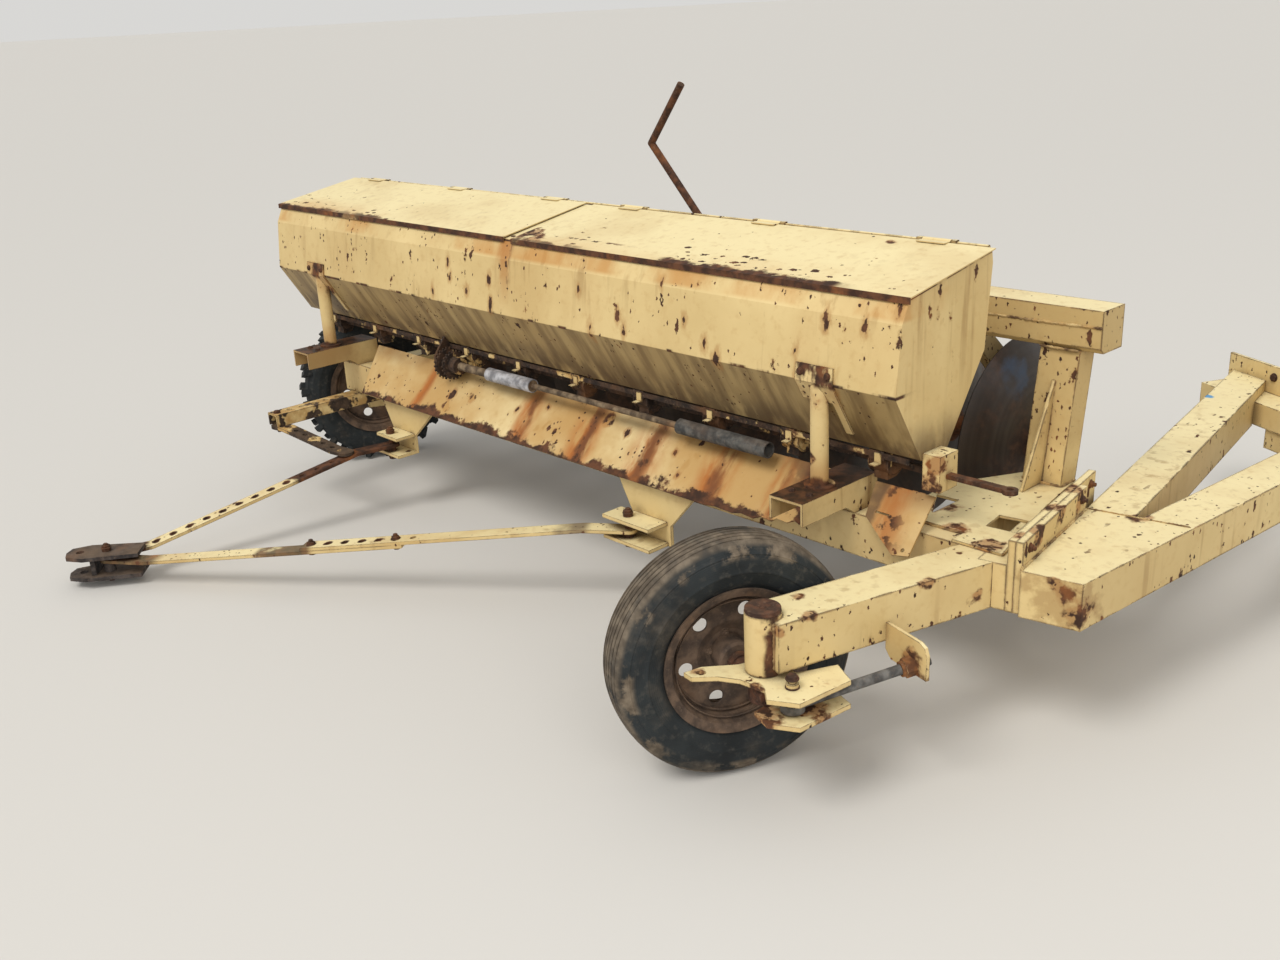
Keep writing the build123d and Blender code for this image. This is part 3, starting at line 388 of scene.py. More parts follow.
def rubber(name, own_axis, seed):
    """Weathered tyre rubber with dried mud; own_axis puts it on the tread and shoulders, about the tyre's own X."""
    m = Look(name)
    shift = (seed, 1.3, seed * 2)
    colour = m.mix(m.band(m.noise(7.0, 6.0, shift=shift), 0.35, 0.7), *RUBBER)
    colour = m.mix(m.times(m.band(m.noise(45.0, 5.0, shift=shift), 0.5, 0.75), 0.4), colour, RUBBER_FADED)
    muddy = m.times(m.band(m.noise(6.0, 6.0, shift=(seed, 4, 1)), 0.54, 0.68), 0.25)
    height = muddy
    if own_axis:
        radius = m.length(m.axis("Y"), m.axis("Z"))
        tread = m.times(m.band(radius, 0.298, 0.311), m.band(m.noise(9.0, 7.0, shift=shift), 0.26, 0.52))
        patches = m.band(m.noise(10.0, 7.0, shift=shift, rough=0.65), 0.47, 0.56)
        shoulder = m.times(m.band(radius, 0.268, 0.286), m.band(m.noise(3.0, 2.0, shift=shift), 0.40, 0.60), patches)
        muddy = m.most(muddy, m.times(tread, 0.85), shoulder)
        rings = m.node("ShaderNodeTexWave", {"Vector": m.node("ShaderNodeCombineXYZ", {"X": radius}), "Scale": 60.0})
        height = m.plus(m.times(rings, 0.12), m.times(muddy, 0.9))
    mud = m.mix(m.band(m.noise(30.0, 5.0), 0.35, 0.7), *MUD)
    colour = m.mix(m.times(muddy, 0.85), colour, mud)
    height = m.plus(height, m.times(m.noise(90.0, 5.0), 0.3))
    return m.finish(colour, 0.8, height, 0.0016)


def blade_steel(name):
    """Dark disc steel with rings from the soil, brown rust, painted sheen over the upper part and a painted blue
    sheen on the near disc.
    """
    m = Look(name)
    shaft = at(0, GANG_Y, GANG_Z)
    radius = m.length(m.less(m.axis("Y"), shaft.y), m.less(m.axis("Z"), shaft.z))
    ring = m.node("ShaderNodeCombineXYZ", {"X": radius, "Y": m.times(m.axis("X"), 0.2)})
    rings = m.node("ShaderNodeTexNoise", {"Vector": ring, "Scale": 60.0, "Detail": 4.0})
    colour = m.mix(m.band(rings, 0.25, 0.80), *BLADE)
    rust = m.times(m.band(m.noise(5.0, 6.0), 0.44, 0.64), 0.55)
    colour = m.mix(rust, colour, m.mix(m.band(m.noise(38.0, 5.0), 0.4, 0.65), *BLADE_RUST))
    # Painted sheen on the discs' upper part
    sheen = m.times(m.band(m.axis("Z"), 0.50, 0.76), m.band(m.noise(4.0, 4.0), 0.40, 0.70), 0.5)
    colour = m.mix(sheen, colour, BLADE_PAINTED_SHEEN)
    # Painted blue sheen on the near disc
    blue = m.times(m.spot(at(-150, 1302, 740), 0.075, 0.3), m.band(m.noise(9.0, 4.0), 0.30, 0.65), 0.55)
    colour = m.mix(blue, colour, BLADE_BLUE_SHEEN)
    rough = m.plus(m.times(rust, 0.3), 0.42)
    height = m.plus(m.times(rings, 0.5), m.times(m.noise(70.0, 5.0), 0.5))
    return m.finish(colour, rough, height, 0.0006, metal=0.35, soft=0.0015)


# The largest chips on the box's front and on the apron: x, z and radius in millimetres
BOX_CHIPS = [(-1819, 943, 9), (-1691, 995, 9), (-1682, 910, 11), (-1927, 1030, 7), (-1917, 976, 6), (-1171, 907, 8),
             (-1165, 882, 8), (-1046, 958, 9), (-1015, 923, 8), (-1229, 1013, 6), (-863, 1075, 5), (-681, 929, 8),
             (-634, 892, 12), (-765, 986, 6), (-254, 1053, 11), (-130, 1050, 8), (-348, 958, 6), (-337, 908, 6),
             (-2022, 919, 6), (-37, 1101, 8), (-221, 870, 9)]
APRON_CHIPS = [(-2068, 507, 18), (-1139, 541, 12), (-1857, 616, 6), (-1213, 653, 7), (-1777, 408, 6), (-853, 479, 6),
               (-1396, 695, 6), (-1053, 421, 8), (-1546, 547, 6), (-905, 528, 7), (-1950, 600, 7), (-1690, 520, 6)]

# The rust runs down the apron: their x in millimetres, half width in metres and the share of bare metal in them
APRON_RUNS = [(-2240, 0.035, 0.2), (-1623, 0.055, 0.5), (-1307, 0.075, 1.0), (-1018, 0.080, 0.9), (-710, 0.070, 0.9),
              (-470, 0.04, 0.4)]

# The seed box, in the row frame's metres: the fold of its front, and the underside and front edge of the lids
FOLD_Z = 0.811
UNDER_Y, UNDER_Z, UNDER_SLOPE = 1.224, 1.055, 0.172
LID_EDGE_Y = 1.2155


def hopper_extra(m, colour, bare):
    """Rust stain with painted shade under the lids' edge, rust in their gap, chips in the front, painted shade with
    darker streaks over the lower slope, and darker towards the bottom.
    """
    x, y, z = m.axis("X"), m.axis("Y"), m.axis("Z")
    under_lid = m.less(m.plus(m.times(m.less(y, UNDER_Y), UNDER_SLOPE), UNDER_Z), z)
    # Rust stain with painted shade in a band under the lids' edge
    bevel = m.times(m.line(z, 1.03, 0.036, 0.6), m.band(m.noise(3.4, 6.0, stretch=(1, 1, 0.5)), 0.45, 0.63), 0.75)
    colour = m.mix(bevel, colour, UNDER_LID_RUST_AND_SHADE)
    gap = m.times(m.line(x, row_x(-1614), 0.05), m.band(z, 0.80, 1.04),
                  m.band(m.noise(6.0, 6.0, stretch=(3, 3, 0.5)), 0.36, 0.60))
    colour = m.mix(m.times(gap, 0.85), colour, LID_GAP)
    # Painted shade over the lower slope, with darker streaks of stain on it
    slope = m.times(m.band(z, FOLD_Z + 0.002, FOLD_Z - 0.003), m.band(m.math("ABSOLUTE", m.turn("X")), 0.6, 0.4))
    streak = m.band(m.noise(3.0, 6.0, stretch=(7, 0.8, 0.8)), 0.40, 0.64)
    colour = m.mix(m.times(slope, 0.68), colour, SLOPE_SHADE)
    colour = m.mix(m.times(slope, streak, 0.62), colour, BOX_RUNS)
    # Darker towards the bottom, in patches
    bottom = m.times(m.band(z, 0.76, 0.63), m.band(m.noise(9.0, 6.0, stretch=(2, 1, 0.6)), 0.30, 0.60), 0.8)
    colour = m.mix(bottom, colour, BOX_BOTTOM)
    lip = m.times(m.line(under_lid, 0.0, 0.007, 0.5), m.band(m.noise(12.0, 5.0), 0.36, 0.50))
    fold = m.times(m.line(z, FOLD_Z, 0.007), m.band(m.noise(9.0, 6.0, stretch=(1, 0.3, 0.3)), 0.52, 0.60))
    gap_bare = m.times(gap, m.band(m.noise(18.0, 5.0, stretch=(1.4, 1, 0.5)), 0.56, 0.64))
    front = m.band(m.turn("Y"), -0.5, -0.8)
    depth = m.marks(BOX_CHIPS, 2.0)
    colour = m.mix(m.times(m.band(depth, -0.014, 0.002), front, 0.6), colour, BOX_HALO)
    return colour, m.most(bare, lip, fold, gap_bare, m.times(m.band(depth, 0.0, 0.003), front))


def apron_extra(m, colour, bare):
    """Broad rust runs down the sloping sheet, painted shade along its top, rot along its lower edge, its torn corner
    and rusty flap with painted shade on the flap's left side, and chips.
    """
    colour = m.mix(m.times(m.band(m.noise(1.8, 5.0), 0.30, 0.55), 0.85), colour, APRON_TINT)
    x = m.plus(m.axis("X"), m.sway(0.09, 5.0, 5.0))
    z = m.axis("Z")
    ragged = m.band(m.noise(8.0, 6.0, stretch=(2.5, 1, 0.4)), 0.30, 0.55)
    lower = m.band(z, 0.52, 0.44)
    for place, width, core in APRON_RUNS:
        centre = row_x(place)
        wide = m.times(m.line(x, centre, width * 1.25, 0.1), m.plus(m.times(lower, 0.25), 0.72), ragged)
        colour = m.mix(wide, colour, APRON_RUN)
        deep = m.times(m.line(x, centre + 0.012, width * 0.5, 0.1), ragged, core)
        colour = m.mix(m.times(deep, 0.8), colour, APRON_CORE)
        bare = m.most(bare, m.times(deep, m.band(m.noise(20.0, 6.0, stretch=(1, 1, 0.4)), 0.52, 0.62)))
    # Painted shade along the apron's top
    top_shade = m.times(m.band(z, 0.455, 0.51), m.band(m.noise(6.0, 5.0), 0.25, 0.6), 0.55)
    colour = m.mix(top_shade, colour, APRON_TOP_SHADE)
    rot = m.band(m.plus(z, m.times(m.noise(14.0, 7.0, rough=0.65), 0.11)), 0.436, 0.424)
    torn = m.times(m.span(m.axis("X"), -480, -390, -330, -200), m.band(m.noise(12.0, 6.0), 0.42, 0.50))
    flap = m.times(m.line(x, row_x(-92), 0.085, 0.1), m.band(m.noise(7.0, 6.0, stretch=(2, 1, 0.4)), 0.28, 0.50))
    colour = m.mix(m.times(flap, 0.85), colour, FLAP_RUST)
    shade = m.times(m.line(x, row_x(-172), 0.045, 0.5), m.band(m.noise(5.0, 5.0), 0.25, 0.5))
    colour = m.mix(m.times(shade, 0.8), colour, FLAP_SHADE)
    flap_bare = m.times(flap, m.band(m.noise(22.0, 5.0), 0.53, 0.60))
    depth = m.marks(APRON_CHIPS, 0.9)
    colour = m.mix(m.times(m.band(depth, -0.012, 0.002), 0.6), colour, APRON_HALO)
    return colour, m.most(bare, rot, torn, flap_bare, m.band(depth, 0.0, 0.003))


def lid_extra(m, colour, bare):
    """Rust along the lids' front edge, stains and pocks spreading back from it, and a row of pocks on the far lid."""
    x, y = m.axis("X"), m.axis("Y")
    lip = m.times(m.band(y, LID_EDGE_Y + 0.001, LID_EDGE_Y - 0.001),
                  m.band(m.noise(9.0, 6.0, stretch=(0.5, 1, 1)), 0.30, 0.42))
    worst = m.span(x, -930, -820, -320, -200)
    along = m.most(m.times(m.band(m.noise(1.3, 2.0, shift=(0.4, 0, 0)), 0.40, 0.58), 0.6), worst)
    spread = m.times(m.noise(11.0, 7.0, stretch=(0.7, 1, 1), rough=0.65), 0.16)
    front = m.times(m.band(m.plus(y, spread), 1.324, 1.306), m.band(along, 0.0, 0.5))
    tint = m.times(m.band(y, 1.37, 1.22), m.band(m.noise(2.6, 6.0), 0.36, 0.6), 0.7)
    colour = m.mix(m.times(tint, m.plus(m.times(along, 0.7), 0.3)), colour, LID_STAIN)
    share = m.times(m.band(y, 1.38, 1.25), along, 1.1)
    pocks = m.band(m.flakes(48.0, share, 0.46, (0.6, 1, 1), (2, 3, 1)), 0.0, 0.07)
    row = m.times(m.line(y, 1.285, 0.009, 0.4), m.span(x, -1590, -1540, -1200, -1050),
                  m.band(m.noise(40.0, 3.0), 0.50, 0.58))
    return colour, m.most(bare, lip, front, pocks, row)


def outrigger_extra(m, colour, bare):
    """Short dark strokes scratched into the outrigger's top, its dirty base face, and a dab of blue paint."""
    strokes = m.flakes(34.0, 0.7, 0.26, (1.3, 0.35, 1), (3, 1, 0))
    cut = m.times(m.band(strokes, 0.0, 0.06), m.band(m.noise(2.6, 3.0), 0.38, 0.56), m.band(m.up(), 0.4, 0.9))
    face = m.times(m.spot(at(445, 560, 440), 0.13), m.band(m.up(), 0.5, 0.2))
    colour = m.mix(m.times(face, 0.65), colour, BASE_FACE)
    colour = m.mix(m.spot(at(46, 2217, 498), 0.022), colour, BLUE_DAB)
    return colour, m.most(bare, cut)


def post_extra(m, colour, bare):
    """Rust at the posts' feet and round the straps' bolts."""
    z = m.axis("Z")
    noise = m.noise(15.0, 6.0, stretch=(1, 1, 0.5))
    foot = m.band(m.plus(z, m.times(noise, 0.10)), 0.590, 0.575)
    strap = m.times(m.band(z, 0.790, 0.805), m.band(noise, 0.46, 0.55))
    colour = m.mix(m.times(m.band(z, 0.64, 0.54), 0.6), colour, POST_FOOT)
    colour = m.mix(m.times(m.band(z, 0.70, 0.80), m.band(m.noise(8.0), 0.35, 0.6), 0.55), colour, POST_STRAP)
    return colour, m.most(bare, foot, strap)


def shelf_extra(m, colour, bare):
    """Dark rust all over the shelves' tops, and stains on their sides."""
    top = m.times(m.band(m.up(), 0.6, 0.9), m.band(m.noise(10.0, 6.0), 0.22, 0.34))
    colour = m.mix(m.times(m.band(m.noise(5.0, 6.0), 0.36, 0.60), 0.6), colour, SHELF_STAIN)
    colour = m.mix(top, colour, m.mix(m.band(m.noise(28.0, 6.0), 0.40, 0.66), *SHELF_RUST))
    return colour, m.times(bare, m.less(1.0, top))


def near_bar_extra(m, colour, bare):
    """Rust at the near bar's hitch end, before its lap and round its holes, and a dirty patch near its lug."""
    along, across = m.along(HITCH, NEAR_BOLT)
    rusty = m.times(m.most(m.band(along, 0.23, 0.17), m.line(along, 0.69, 0.12, 0.75)),
                    m.band(m.noise(9.0, 6.0), 0.30, 0.44))
    patch = m.times(m.line(along, 1.715, 0.07, 0.5), m.band(m.noise(8.0, 6.0), 0.25, 0.55))
    colour = m.mix(m.times(patch, 0.85), colour, BAR_PATCH)
    return colour, m.most(bare, m.times(rusty, 0.85), m.rings(along, across, LAP_HOLES))


def far_bar_extra(m, colour, bare):
    """Bare rust over the far bar's far half and at its hitch, and round its holes."""
    along, across = m.along(HITCH, FAR_BOLT)
    ragged = m.plus(along, m.sway(0.22, 9.0, 6.0))
    rusty = m.most(m.band(ragged, 0.67, 0.70), m.band(ragged, 0.15, 0.12))
    return colour, m.most(bare, rusty, m.rings(along, across, FAR_HOLES))


def frame_extra(m, colour, bare):
    """The rust run in the seam between the kingpin boss and its arm, and darker sides on the frame's upper part."""
    seam = m.times(m.line(m.plus(m.axis("X"), m.times(m.noise(14.0, 5.0), 0.02)), row_x(49), 0.014),
                   m.line(m.axis("Y"), at(0, -42, 0).y, 0.05, 0.8), m.band(m.noise(16.0, 5.0), 0.36, 0.48))
    shade = m.times(m.band(m.axis("Z"), 0.50, 0.58), m.band(m.up(), 0.6, 0.2), 0.45)
    colour = m.mix(shade, colour, FRAME_SHADE)
    return colour, m.most(bare, seam)


BEAM_LOW = at(0, 0, 373).z   # the lower side of the frame's beams
OLD_IRON = rgb(46, 37, 30), rgb(78, 62, 48), rgb(104, 78, 54)

# Painted looks: seed, chips, streaks, grime_and_shade (a dirty film, and painted shade in crevices) and wear. Rusted
# ones: seed, and a dark, a middle and a warm tone.
looks = {
    "hopper": painted("hopper_paint", 0.0, 1.0, 0.5, 0.6, 1.0, extra=hopper_extra, soft=0.0, rim=0.0),
    "lid": painted("lid_paint", 2.0, 0.10, 0.15, 0.6, 1.3, extra=lid_extra, soft=0.0, rim=0.0,
                   spots=[(-315, 905, 1190, 22), (-1560, 640, 1145, 60), (-1500, 590, 1136, 50)]),
    "apron": painted("apron_paint", 4.0, 0.9, 0.7, 0.8, 1.5, extra=apron_extra, soft=0.0, rim=0.0,
                     spots=[(-1950, 600, 508, 30), (-1240, 650, 560, 30), (-2060, 560, 470, 25)]),
    "beams": painted("beam_paint", 6.0, 0.55, 0.55, 0.8, 1.25, extra=frame_extra, rim=0.009, low=BEAM_LOW,
                     spots=[(4, 123, 498, 24), (79, 66, 498, 24), (55, -15, 480, 20), (180, 560, 420, 50),
                            (189, 391, 500, 30), (286, 640, 558, 35), (250, 850, 552, 40), (225, 1000, 545, 50)]),
    "outrigger": painted("outrigger_paint", 8.0, 0.5, 0.45, 0.6, 1.4, extra=outrigger_extra, rim=0.009, low=BEAM_LOW,
                         spots=[(437, 590, 458, 45), (470, 612, 410, 50), (400, 590, 480, 25), (372, 1085, 500, 40),
                                (295, 702, 548, 40), (270, 850, 552, 35), (246, 998, 545, 50)]),
    "plate": painted("plate_paint", 11.0, 0.4, 0.5, 1.1, 1.5,
                     spots=[(60, 700, 506, 50), (-60, 800, 506, 50), (178, 660, 506, 50)]),
    "strap": painted("strap_paint", 13.0, 1.1, 0.7, 1.1, 2.0, extra=post_extra, soft=0.002,
                     spots=[(-291, 550, 822, 32), (-291, 530, 668, 20), (-385, 566, 885, 18), (-250, 566, 889, 18),
                            (-330, 566, 905, 16), (-2790, 550, 822, 30)]),
    "shelf": painted("shelf_paint", 14.0, 0.6, 0.7, 1.2, 1.7, extra=shelf_extra, soft=0.002),
    "lug": painted("lug_paint", 12.0, 0.6, 0.7, 1.2, 1.3, soft=0.002),
    "casting": painted("casting_paint", 16.0, 0.9, 0.7, 1.3, 1.9, soft=0.003,
                       spots=[(20, 655, 690, 35), (0, 660, 625, 40)]),
    "bars": painted("bar_paint", 15.0, 0.9, 0.5, 1.1, 1.8, extra=near_bar_extra, soft=0.002),
    "steer": painted("steer_paint", 17.0, 0.25, 0.3, 0.8, 1.2, soft=0.002,
                     spots=[(40, -80, 355, 30), (10, 20, 355, 22), (-110, -110, 355, 20), (60, -80, 287, 65),
                            (120, 20, 287, 65), (10, -130, 287, 60)]),
    "bracket": painted("bracket_paint", 18.0, 0.35, 0.5, 1.0, 1.3, soft=0.002, spots=[(243, 247, 352, 50)]),
    "rust": rusted("rust_look", 1.0),
    "old_bar": rusted("old_bar_look", 3.0, *OLD_IRON, paint=0.16),
    "far_bar": painted("far_bar_paint", 19.0, 0.9, 0.5, 1.1, 1.8, extra=far_bar_extra, soft=0.002),
    "channel": rusted("channel_look", 4.0, *OLD_IRON, paint=0.62),
    "feed": rusted("feed_look", 5.0, rgb(36, 28, 24), rgb(76, 56, 42), rgb(118, 80, 48), paint=0.14),
    "hitch": rusted("hitch_look", 7.0, rgb(44, 40, 40), rgb(82, 74, 70), rgb(112, 82, 62), dust=0.7),
    "cap": rusted("cap_look", 9.0, rgb(56, 38, 30), rgb(98, 64, 46), rgb(132, 88, 56)),
    "rim": rusted("rim_look", 11.0, rgb(70, 58, 50), rgb(112, 92, 76), rgb(128, 98, 74), dust=0.1, grain=22.0),
    "nut": rusted("nut_look", 13.0, rgb(86, 54, 32), rgb(138, 90, 50), rgb(170, 116, 66), dust=0.1),
    "thread": rusted("thread_look", 15.0, rgb(74, 72, 70), rgb(118, 116, 112), rgb(98, 80, 64), dust=0.0),
    "tube": rusted("tube_look", 17.0, rgb(58, 58, 57), rgb(98, 96, 92), rgb(88, 70, 56)),
    "sleeve": rusted("sleeve_look", 19.0, rgb(118, 118, 122), rgb(182, 182, 186), rgb(128, 110, 96), dust=0.1),
    "drive": rusted("drive_look", 20.0, rgb(70, 58, 46), rgb(136, 118, 94), rgb(120, 86, 56), dust=0.5),
    "weld": rusted("weld_look", 21.0, rgb(84, 62, 42), rgb(160, 134, 92), rgb(122, 84, 50), paint=0.5, dust=0.0),
    "tyre": rubber("tyre_look", True, 2.0),
    "tyre_far": rubber("tyre_far_look", False, 5.0),
    "blade": blade_steel("disc_steel_look"),
}

LOOK_OF = {
    "hopper": ["hopper_shell", "hopper_ends"],
    "lid": ["lid_left", "lid_right", "lid_strip"],
    "apron": ["apron"],
    "beams": ["main_beam", "rear_beams", "wheel_arm", "upper_beam", "uprights", "gang_hangers", "wheel_leg_far",
              "wheel_leg_rear", "hopper_carriers", "flange_inner", "lid_hinge"],
    "outrigger": ["outrigger", "rear_crossbar"],
    "plate": ["corner_plate"],
    "bracket": ["screw_bracket"],
    "strap": ["hopper_posts"],
    "casting": ["feed_casting"],
    "shelf": ["post_shelves"],
    "lug": ["drawbar_lugs"],
    "bars": ["drawbar_near_front", "drawbar_near_rear"],
    "far_bar": ["drawbar_far"],
    "old_bar": ["drawbar_brace"],
    "channel": ["side_channel"],
    "steer": ["steering_plates"],
    "hitch": ["hitch"],
    "feed": ["seed_cups", "shutter_rail", "feed_shaft", "drive_head"],
    "rust": ["feed_lever", "drawbar_bolts", "control_lever", "gang_shaft"],
    "drive": ["drive_shaft"],
    "cap": ["knuckle"],
    "rim": ["rim_near", "rim_far", "rim_rear"],
    "thread": ["screw_rod"],
    "tube": ["drive_tube"],
    "tyre_far": ["tyre_far"],
    "tyre": ["tyre_near", "tyre_rear"],
    "blade": ["discs"],
}
for look, names in LOOK_OF.items():
    for name in names:
        nodes[name].data.materials.clear()
        nodes[name].data.materials.append(looks[look])

X_WAY, Y_WAY, Z_WAY = Vector((1, 0, 0)), Vector((0, 1, 0)), Vector((0, 0, 1))


def piece(name, bm, look, body, place=None, smooth=True):
    """Makes one riding piece from a bmesh."""
    bmesh.ops.recalc_face_normals(bm, faces=bm.faces)
    mesh = bpy.data.meshes.new(name)
    bm.to_mesh(mesh)
    bm.free()
    mesh.materials.append(looks[look])
    if smooth:
        mesh.shade_smooth()
        mesh.set_sharp_from_angle(angle=math.radians(38))
    made = bpy.data.objects.new(name, mesh)
    bpy.context.scene.collection.objects.link(made)
    if place is not None:
        made.matrix_world = place
    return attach(made, body)


def circle(x, r, steps):
    """Points at even steps round the X axis."""
    turns = [2 * math.pi * i / steps for i in range(steps)]
    return [Vector((x, r * math.cos(turn), r * math.sin(turn))) for turn in turns]


def lathe(bm, profile, place, steps):
    """Turns a closed profile of (x, radius) about the X axis of place."""
    circles = [circle(x, r, steps) for x, r in profile]
    rings = [[bm.verts.new(place @ points[i]) for points in circles] for i in range(steps)]
    count = len(profile)
    for i in range(steps):
        a, b = rings[i], rings[(i + 1) % steps]
        for j in range(count):
            k = (j + 1) % count
            bm.faces.new((a[j], a[k], b[k], b[j]))


def block(bm, place, size):
    """Adds a block of this size about the middle of place."""
    bmesh.ops.create_cube(bm, size=1, matrix=place @ Matrix.Diagonal((*size, 1)))


def facing(place, way):
    """A frame in millimetres at a place, its X axis along way."""
    x = Vector(way).normalized()
    side = Z_WAY if abs(x.z) < 0.9 else Y_WAY
    y = side.cross(x).normalized()
    z = x.cross(y)
    made = Matrix((x, y, z)).transposed().to_4x4()
    return Matrix.Translation(place) @ made @ Matrix.Scale(MM, 4)


def bolt(bm, place, way, size, tail=0.0):
    """A hexagon head on a washer, with a worn top, and a stub of thread if it has a tail.

    size is half the head's width over its corners, and tail the stub's length, in millimetres.
    """
    spot = facing(place, way) @ Matrix.Rotation(random.uniform(0, 1), 4, "X")
    head = size * 0.62
    crown = head + size * 0.14
    lathe(bm, [(-0.5, size * 0.3), (-0.5, size * 1.18), (2.0, size * 1.18), (2.6, size * 1.1), (2.6, size * 0.3)],
          spot, 20)
    lathe(bm, [(2.4, 0.5), (2.4, size), (head, size), (crown, size * 0.84), (crown, 0.5)], spot, 6)
    if tail:
        pitch = 2.4
        profile = [(head, 0.4)]
        x = head
        while x < head + tail:
            profile += [(x, size * 0.50), (x + pitch / 2, size * 0.56)]
            x += pitch
        profile += [(x, size * 0.4), (x, 0.4)]
        lathe(bm, profile, spot, 12)


def bead(bm, start, end, radius):
    """A weld run from start to end, in millimetres from the kingpin, with a ripple every 5 mm or so."""
    a, b = at(*start), at(*end)
    length = (b - a).length / MM
    spot = facing(a, b - a)
    steps = max(3, int(length / 5))
    sides = 7
    rings = []
    for i in range(steps + 1):
        r = radius * (0.72 + 0.3 * random.random() + 0.22 * (i % 2))
        if i in (0, steps):
            r = radius * 0.3
        drift = Vector((0, random.uniform(-0.8, 0.8), random.uniform(-0.8, 0.8)))
        points = circle(length * i / steps, r, sides)
        rings.append([bm.verts.new(spot @ (point + drift)) for point in points])
    for a_ring, b_ring in zip(rings, rings[1:]):
        for k in range(sides):
            m = (k + 1) % sides
            bm.faces.new((a_ring[k], a_ring[m], b_ring[m], b_ring[k]))
    bm.faces.new(rings[0])
    bm.faces.new(rings[-1])


# Tyres: ribbed tread and smooth sidewalls, in their own coordinates with the axle along X
WHEEL_TURN = 156
NEAR_AT = (-172.97, 63.88, 318.0)
FAR_AT = (-3026.72, 836.76, 318.0)
REAR_AT = (775.5, 2122.2, 318.0)
TYRE_R = 318
GROOVES = (41, 24.5, 8.2, -8.2, -24.5, -41)
GROOVE_DEEP = 7
SIDEWALL = [(50, 178), (52, 186), (56.5, 196.5), (60, 202), (63, 205), (66, 212), (69.5, 224), (72.5, 236),
            (73.4, 239), (74.6, 240), (74.6, 244), (73.8, 246), (74, 256), (72.6, 270), (70, 281), (68.6, 282),
            (68.8, 286), (67, 287), (64, 294), (60.5, 301), (57.5, 305), (53.5, 309.5), (49, 313)]


def ribbed_profile():
    """The tyre's section as (x, radius), with the grooves between its ribs."""
    tread = []
    for groove in GROOVES:
        crown = TYRE_R - groove * groove * 0.0022
        tread += [(groove + 2.8, crown), (groove + 1.8, crown - GROOVE_DEEP), (groove - 1.8, crown - GROOVE_DEEP),
                  (groove - 2.8, crown)]
    return SIDEWALL + tread + [(-x, r) for x, r in reversed(SIDEWALL)]


for name, body, spot in (("near", "wheel_near", NEAR_AT), ("rear", "wheel_rear", REAR_AT)):
    bm = bmesh.new()
    lathe(bm, ribbed_profile(), Matrix.Scale(MM, 4), 144)
    place = turned(*spot, WHEEL_TURN) @ Matrix.Scale(1 / MM, 4)
    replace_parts(piece("tyre_ribbed_" + name, bm, "tyre", body, place), "tyre_" + name)

# Rims: studs with nuts on both sides of the hub's plate, and pressed ridges inside the well
STUDS, STUD_RING = 5, 52
STUD_SIDES = ((1, 15), (-1, 6))   # which way the nut faces, and where it sits along the axle
RIDGES = ((-44, 172), (44, 172), (-20, 163.5), (20, 163.5))   # place along the axle, and the well's radius there
for name, body, spot, turn in (("near", "wheel_near", NEAR_AT, WHEEL_TURN), ("far", "wheel_far", FAR_AT, WHEEL_TURN),
                               ("rear", "wheel_rear", REAR_AT, WHEEL_TURN + 180)):
    bm = bmesh.new()
    spin = turned(*spot, turn)
    way = spin.to_3x3() @ X_WAY
    for i in range(STUDS):
        angle = math.radians(360 / STUDS * i + 11)
        for side, x in STUD_SIDES:
            hub = spin @ Vector((x, STUD_RING * math.cos(angle), STUD_RING * math.sin(angle)))
            bolt(bm, hub, way * side, 10, tail=6)
    for x, r in RIDGES:
        lathe(bm, [(x - 3, r - 12), (x - 1.5, r - 15), (x + 1.5, r - 15), (x + 3, r - 12)], spin, 64)
    piece("wheel_studs_" + name, bm, "rim", body)

# Discs: a flat middle, and a smooth dish with a bevelled rim
FIRST_DISC_X, PITCH, DISCS = -180.0, 310.0, 9
DISH, BORE_R, FLAT_R, DISC_R, DISC_T, RIM_BEVEL = 72.0, 20.1, 66.0, 330.0, 6.0, 5
DISH_STEPS = 14
BALL = ((DISC_R - FLAT_R) ** 2 + DISH ** 2) / (2 * DISH)   # the dish's radius
bm = bmesh.new()
front = [(DISH, BORE_R), (DISH, FLAT_R)]
back = [(DISH - DISC_T, BORE_R), (DISH - DISC_T, FLAT_R)]
for i in range(1, DISH_STEPS + 1):
    r = FLAT_R + (DISC_R - FLAT_R) * i / DISH_STEPS
    deep = DISH - BALL + math.sqrt(BALL ** 2 - (r - FLAT_R) ** 2)
    front.append((deep, r))
    back.append((deep - DISC_T, min(r, DISC_R - RIM_BEVEL)))
for i in range(DISCS):
    lathe(bm, front + back[::-1], turned(FIRST_DISC_X - PITCH * i, GANG_Y, GANG_Z, 0), 96)
blades = piece("disc_blades", bm, "blade", "gang")
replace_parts(blades, "discs")

# Screw: thread on the rod, and the rusty nut with its collar at the bracket
ARM = turned(0, 0, 0, 74)
PIN, NUT = Vector((10, -105, 307)), Vector((305, -165, 352))   # the steering pin and the nut, in the arm's frame
THREAD_START, THREAD_PAST, THREAD_PITCH = 44.0, 43, 3.0        # from the pin, past the nut, from crest to crest
ROOT_R, CREST_R = 12.2, 13.2
way = (ARM.to_3x3() @ (NUT - PIN).normalized()).normalized()
bm = bmesh.new()
profile = [(THREAD_START, 9.0)]
x = THREAD_START
end = (NUT - PIN).length + THREAD_PAST
while x < end:
    profile += [(x, ROOT_R), (x + THREAD_PITCH / 2, CREST_R)]
    x += THREAD_PITCH
profile += [(end, 12.0), (end + 1, 9.0)]
lathe(bm, profile, facing(ARM @ PIN, way), 24)
piece("rod_thread", bm, "thread", "screw")
bm = bmesh.new()
